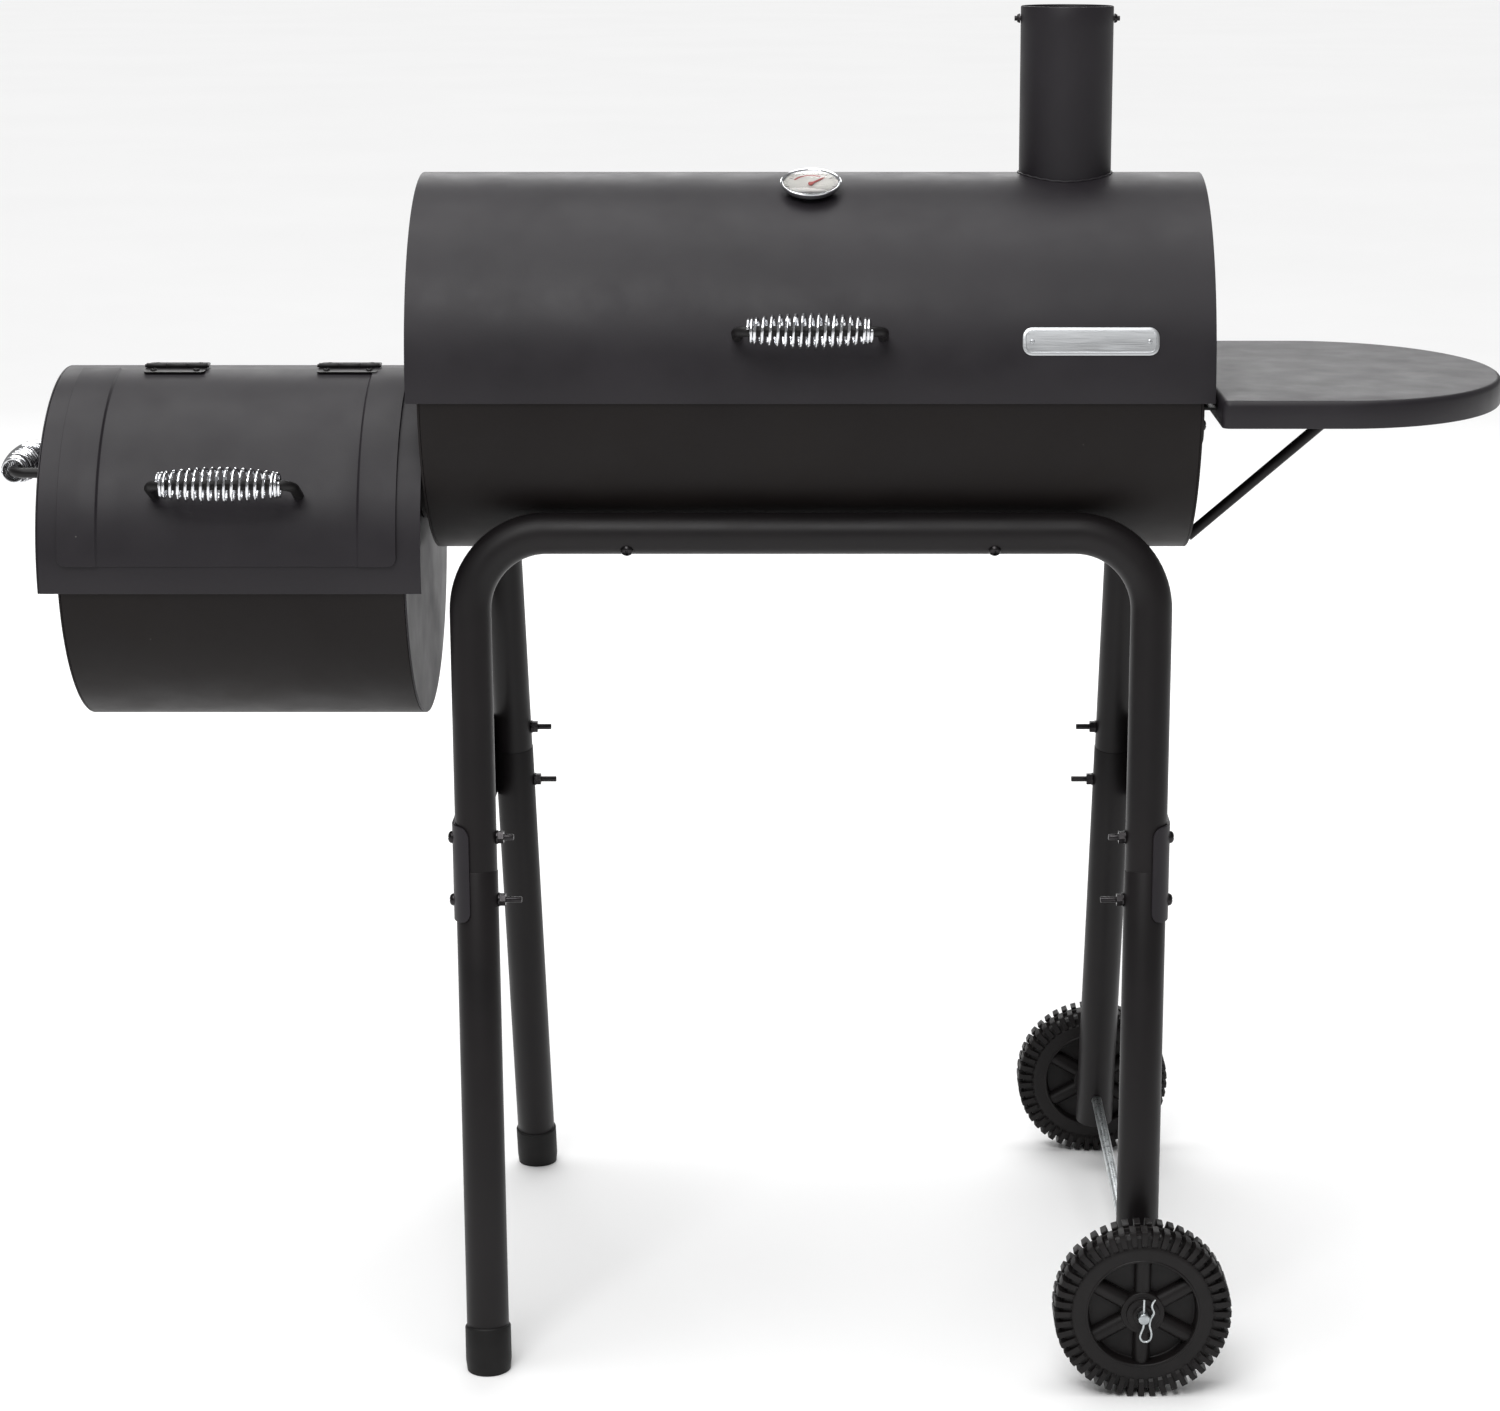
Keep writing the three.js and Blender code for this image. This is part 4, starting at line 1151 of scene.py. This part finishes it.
joint = {-1: 0.485, 1: 0.508}
for sideY, word in ((-1, "front"), (1, "rear")):
    put(word + "Frame", frameTube(sideY, joint[sideY] - 0.03), "stand", tubePaintWithPaintedShade, [word + "_frame"])
    for sideX, end, bottom in ((-1, "left", 0.007), (1, "right", 0.054)):
        leg = sleeveLeg(sideX, sideY, joint[sideY], bottom)
        put(word + "Leg" + end.title(), leg, "stand", tubePaintWithPaintedShade, ["leg_" + word + "_" + end], sharp=70)
    put(word + "FootCap", footCap(sideY), "stand", capPlastic, ["foot_cap_" + word], sharp=60)

brace = {"wrap": 77, "radius": 0.0228, "sheet": 0.002, "low": 0.447, "high": 0.539, "corner": 0.011,
         "tilt": 0.0075}


def sidePlate(sideX):
    # a flat strip whose ends wrap round the two legs
    heights = through([brace["low"], brace["low"] + brace["corner"], brace["high"] - brace["corner"],
                       brace["high"]], 0.0015)
    points = []
    for z in heights:
        inset = cornerInset(min(z - brace["low"], brace["high"] - z), brace["corner"])
        wrap = brace["wrap"] - math.degrees(inset / brace["radius"])
        for sideY in (-1, 1):
            centre = legSpot(sideX, sideY, z + sideY * brace["tilt"])
            for i in range(17):
                share = 1 - i / 16 if sideY < 0 else i / 16
                angle = math.radians(wrap * share)
                out = Vector((sideX * math.cos(angle), sideY * math.sin(angle), 0))
                points.append(centre + out * brace["radius"])
    row = 34
    faces = []
    for i in range(len(heights) - 1):
        for j in range(row - 1):
            a = i * row + j
            quad = (a, a + 1, a + row + 1, a + row)
            faces.append(quad if sideX > 0 else quad[::-1])
    return meshOf("sidePlate", points, faces)


for sideX, word in ((-1, "left"), (1, "right")):
    put("sidePlate" + word.title(), sidePlate(sideX), "stand", sheetPaint, ["side_brace_" + word],
        sheet=brace["sheet"], bevel=0.0004, closed=False)

bolt = {"head": 0.0062, "rise": 0.0042, "across": 0.011, "nut": 0.0055, "washer": 0.0068, "stud": 0.003}
boltPlaces = [(-1, 0.517, 0.011), (-1, 0.457, 0.017), (1, 0.531, 0.016), (1, 0.47, 0.018)]
boltHead = domeHead(bolt["head"], bolt["rise"], 0.0008)
boltNut = hexNut(bolt["across"], bolt["nut"], bolt["stud"])
outside, inside = [], []
for sideX in (-1, 1):
    for sideY, z, length in boltPlaces:
        centre = legSpot(sideX, sideY, z)
        out = Vector((sideX, 0, 0))
        outside.append(moved(boltHead, aimed(centre + out * brace["radius"], out)))
        back = centre - out * (stand["radius"] if z > joint[sideY] else stand["sleeve"])
        inside.append(moved(washer(bolt["washer"], 0.0014, bolt["stud"]), aimed(back, -out)))
        inside.append(moved(boltNut, aimed(back - out * 0.0014, -out)))
        path, radii = roundEnded([back, back - out * (length + bolt["nut"])], bolt["stud"], 0.0006)
        inside.append(swept("stud", path, radii, 16))
for side in (-1, 1):
    for x in (-0.176, 0.176):
        spot = Vector((barrel["x"] + x, side * 0.1605, 0.7926))
        outside.append(moved(boltHead, aimed(spot, (0, side * 0.71, -0.7))))
put("boltHeads", joined("heads", outside), "stand", darkZinc)
put("boltNuts", joined("nuts", inside), "stand", darkZinc, bevel=0.0003)
print("stage: stand made")


# wheels and axle

wheel = {"lugs": 48, "lugShare": 0.54, "spokes": 6, "spoke": 0.0082, "recess": 0.004, "rim": 0.0515}
wheelSide = [(5.8, 21.5), (9, 21.5), (9.8, 20.8), (10, 19), (15, 19), (15.5, 18.4), (15.8, 15.8),
             (20.4, 15.4), (21, 14.6), (21.3, 4), (50.4, 4), (51.4, 5), (52.2, 16.6), (53, 17.6),
             (54.2, 17.7), (55, 16.9), (64, 17), (67, 16.6), (69, 15.4), (76, 15.2), (78.5, 13.5),
             (79, 12)]
lugShape = [(77, 2.2), (84.4, 2.2), (85, 2.9), (85, 16), (84.2, 18.2), (80.5, 19.6), (70, 18.6),
            (67, 16), (77, 11)]


def lugAt(turn, side):
    half = math.pi * wheel["lugShare"] / wheel["lugs"]
    front, back = [], []
    for r, z in lugShape:
        for ring, angle in ((front, turn - half), (back, turn + half)):
            ring.append(Vector((r * mm * math.cos(angle), r * mm * math.sin(angle), side * z * mm)))
    return meshOf("lug", *bridged([front, back], closeEnds=True))


def wheelMesh():
    half = [(r * mm, z * mm) for r, z in wheelSide]
    profile = half + [(0.0826, 0.0016), (0.0826, -0.0016)] + [(r, -z) for r, z in reversed(half)]
    profile.insert(len(half), (0.079, 0.0024))
    profile.insert(len(half) + 3, (0.079, -0.0024))
    parts = [lathe("disc", profile, 144, ring=True)]
    pitch = math.tau / wheel["lugs"]
    for i in range(wheel["lugs"]):
        parts.append(lugAt(i * pitch, 1))
        parts.append(lugAt((i + 0.5) * pitch, -1))
    for side in (-1, 1):
        for i in range(wheel["spokes"]):
            turn = Matrix.Rotation(math.tau * (i + 0.5) / wheel["spokes"], 4, "Z")
            level = side * (wheel["recess"] + 0.0025)
            ends = [(0.0195, 0, level), (wheel["rim"] + 0.001, 0, level)]
            spoke = swept("spoke", ends, wheel["spoke"], 24)
            parts.append(moved(spoke, turn))
    return joined("wheel", parts)


clipPath = [(375.4, 104), (375.4, 90), (375.4, 77), (373.4, 70.5), (372.2, 65.5), (374.6, 61.4),
            (379, 60.8), (382.4, 64.2), (382.9, 70), (381.2, 77), (382.2, 84), (384.9, 90), (383, 96.5),
            (384, 101), (386, 104)]
for side, word in ((-1, "front"), (1, "rear")):
    middle = span("wheel_" + word)[2]
    place = Matrix.Translation(middle) @ Matrix.Rotation(-side * math.pi / 2, 4, "X")
    put(word + "Wheel", wheelMesh(), word + "_wheel", tyrePlastic, ["wheel_" + word], place,
        bevel=0.0004, sharp=28)
    clipY = span("hitch_pin_" + word)[2].y
    clip = curved([(x * mm, clipY, z * mm) for x, z in clipPath])
    put(word + "Clip", swept("clip", clip, 0.0011, 12), "stand", zinc, ["hitch_pin_" + word])
    spacer = [(0.0056, 0), (0.0095, 0), (0.0095, 0.009), (0.0056, 0.009)]
    legFace = abs(legSpot(1, side, 0.085).y) + stand["radius"] * 1.02
    put(word + "Spacer", lathe("spacer", spacer, 32, ring=True), "stand", zinc,
        place=aimed((middle.x, side * (legFace - 0.002), middle.z), (0, side, 0)), bevel=0.0004)
low, high, middle, size = span("axle")
path, radii = roundEnded([(middle.x, low.y, middle.z), (middle.x, high.y, middle.z)], size.x / 2, 0.001)
put("axleRod", swept("axle", path, radii, 32), "stand", zinc, ["axle"])
print("stage: wheels made")


# floor, light and camera

def paleFloor():
    # matt studio floor, a shade off white, with a barely visible unevenness
    material, tree, shader, where = startFinish("paleFloor", {"IOR": 1.45})
    cloud = between(tree, noiseAt(tree, where, 1.5, 2), 0, 1)
    tree.links.new(mixed(tree, cloud, "#f8f8f8", "#fafafa"), shader.inputs["Base Color"])
    tree.links.new(between(tree, noiseAt(tree, where, 0.2, 2), 0.75, 0.85), shader.inputs["Roughness"])
    return material


studio = {"floor": 60, "worldLight": 0.24, "sun": 2.4, "sunAngle": 60, "sunFrom": (-0.15, 0.05, 1.0),
          "softboxes": [("backSoftbox", 90, (0, 4.6, 3.0), (5, 1.6)),
                        ("frontSoftbox", 95, (-0.7, -3.0, 3.9), (2.4, 1.6))],
          "camera": (0.082, -3.2872, 1.4034), "tilt": 76.28, "lens": 79.83, "shiftX": -0.0572}
disc = meshOf("floor", [(x, y, 0) for x, y in roundRing(studio["floor"], 96)], [tuple(range(96))])
disc.materials.append(paleFloor())
floor = bpy.data.objects.new("floor", disc)
bpy.context.scene.collection.objects.link(floor)
floor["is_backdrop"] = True

world = bpy.data.worlds.new("studio")
world.use_nodes = True
world.node_tree.nodes["Background"].inputs["Color"].default_value = (1, 1, 1, 1)
world.node_tree.nodes["Background"].inputs["Strength"].default_value = studio["worldLight"]
bpy.context.scene.world = world


def lampAt(name, kind, energy, spot, direction):
    lamp = bpy.data.objects.new(name, bpy.data.lights.new(name, kind))
    lamp.data.energy = energy
    lamp.matrix_world = aimed(spot, direction)
    bpy.context.scene.collection.objects.link(lamp)
    return lamp


sun = lampAt("softSun", "SUN", studio["sun"], (0, 0, 4), studio["sunFrom"])
sun.data.angle = math.radians(studio["sunAngle"])
for name, energy, spot, size in studio["softboxes"]:
    box = lampAt(name, "AREA", energy, spot, Vector(spot) - Vector((0, 0, 0.9)))
    box.data.shape = "RECTANGLE"
    box.data.size, box.data.size_y = size

camera = bpy.data.objects.new("camera", bpy.data.cameras.new("camera"))
camera.location = studio["camera"]
camera.rotation_euler = (math.radians(studio["tilt"]), 0, 0)
camera.data.sensor_width = 36
camera.data.lens = studio["lens"]
camera.data.shift_x = studio["shiftX"]
bpy.context.scene.collection.objects.link(camera)
bpy.context.scene.camera = camera
bpy.context.scene.view_settings.view_transform = "Standard"
print("stage: studio made")

low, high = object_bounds()
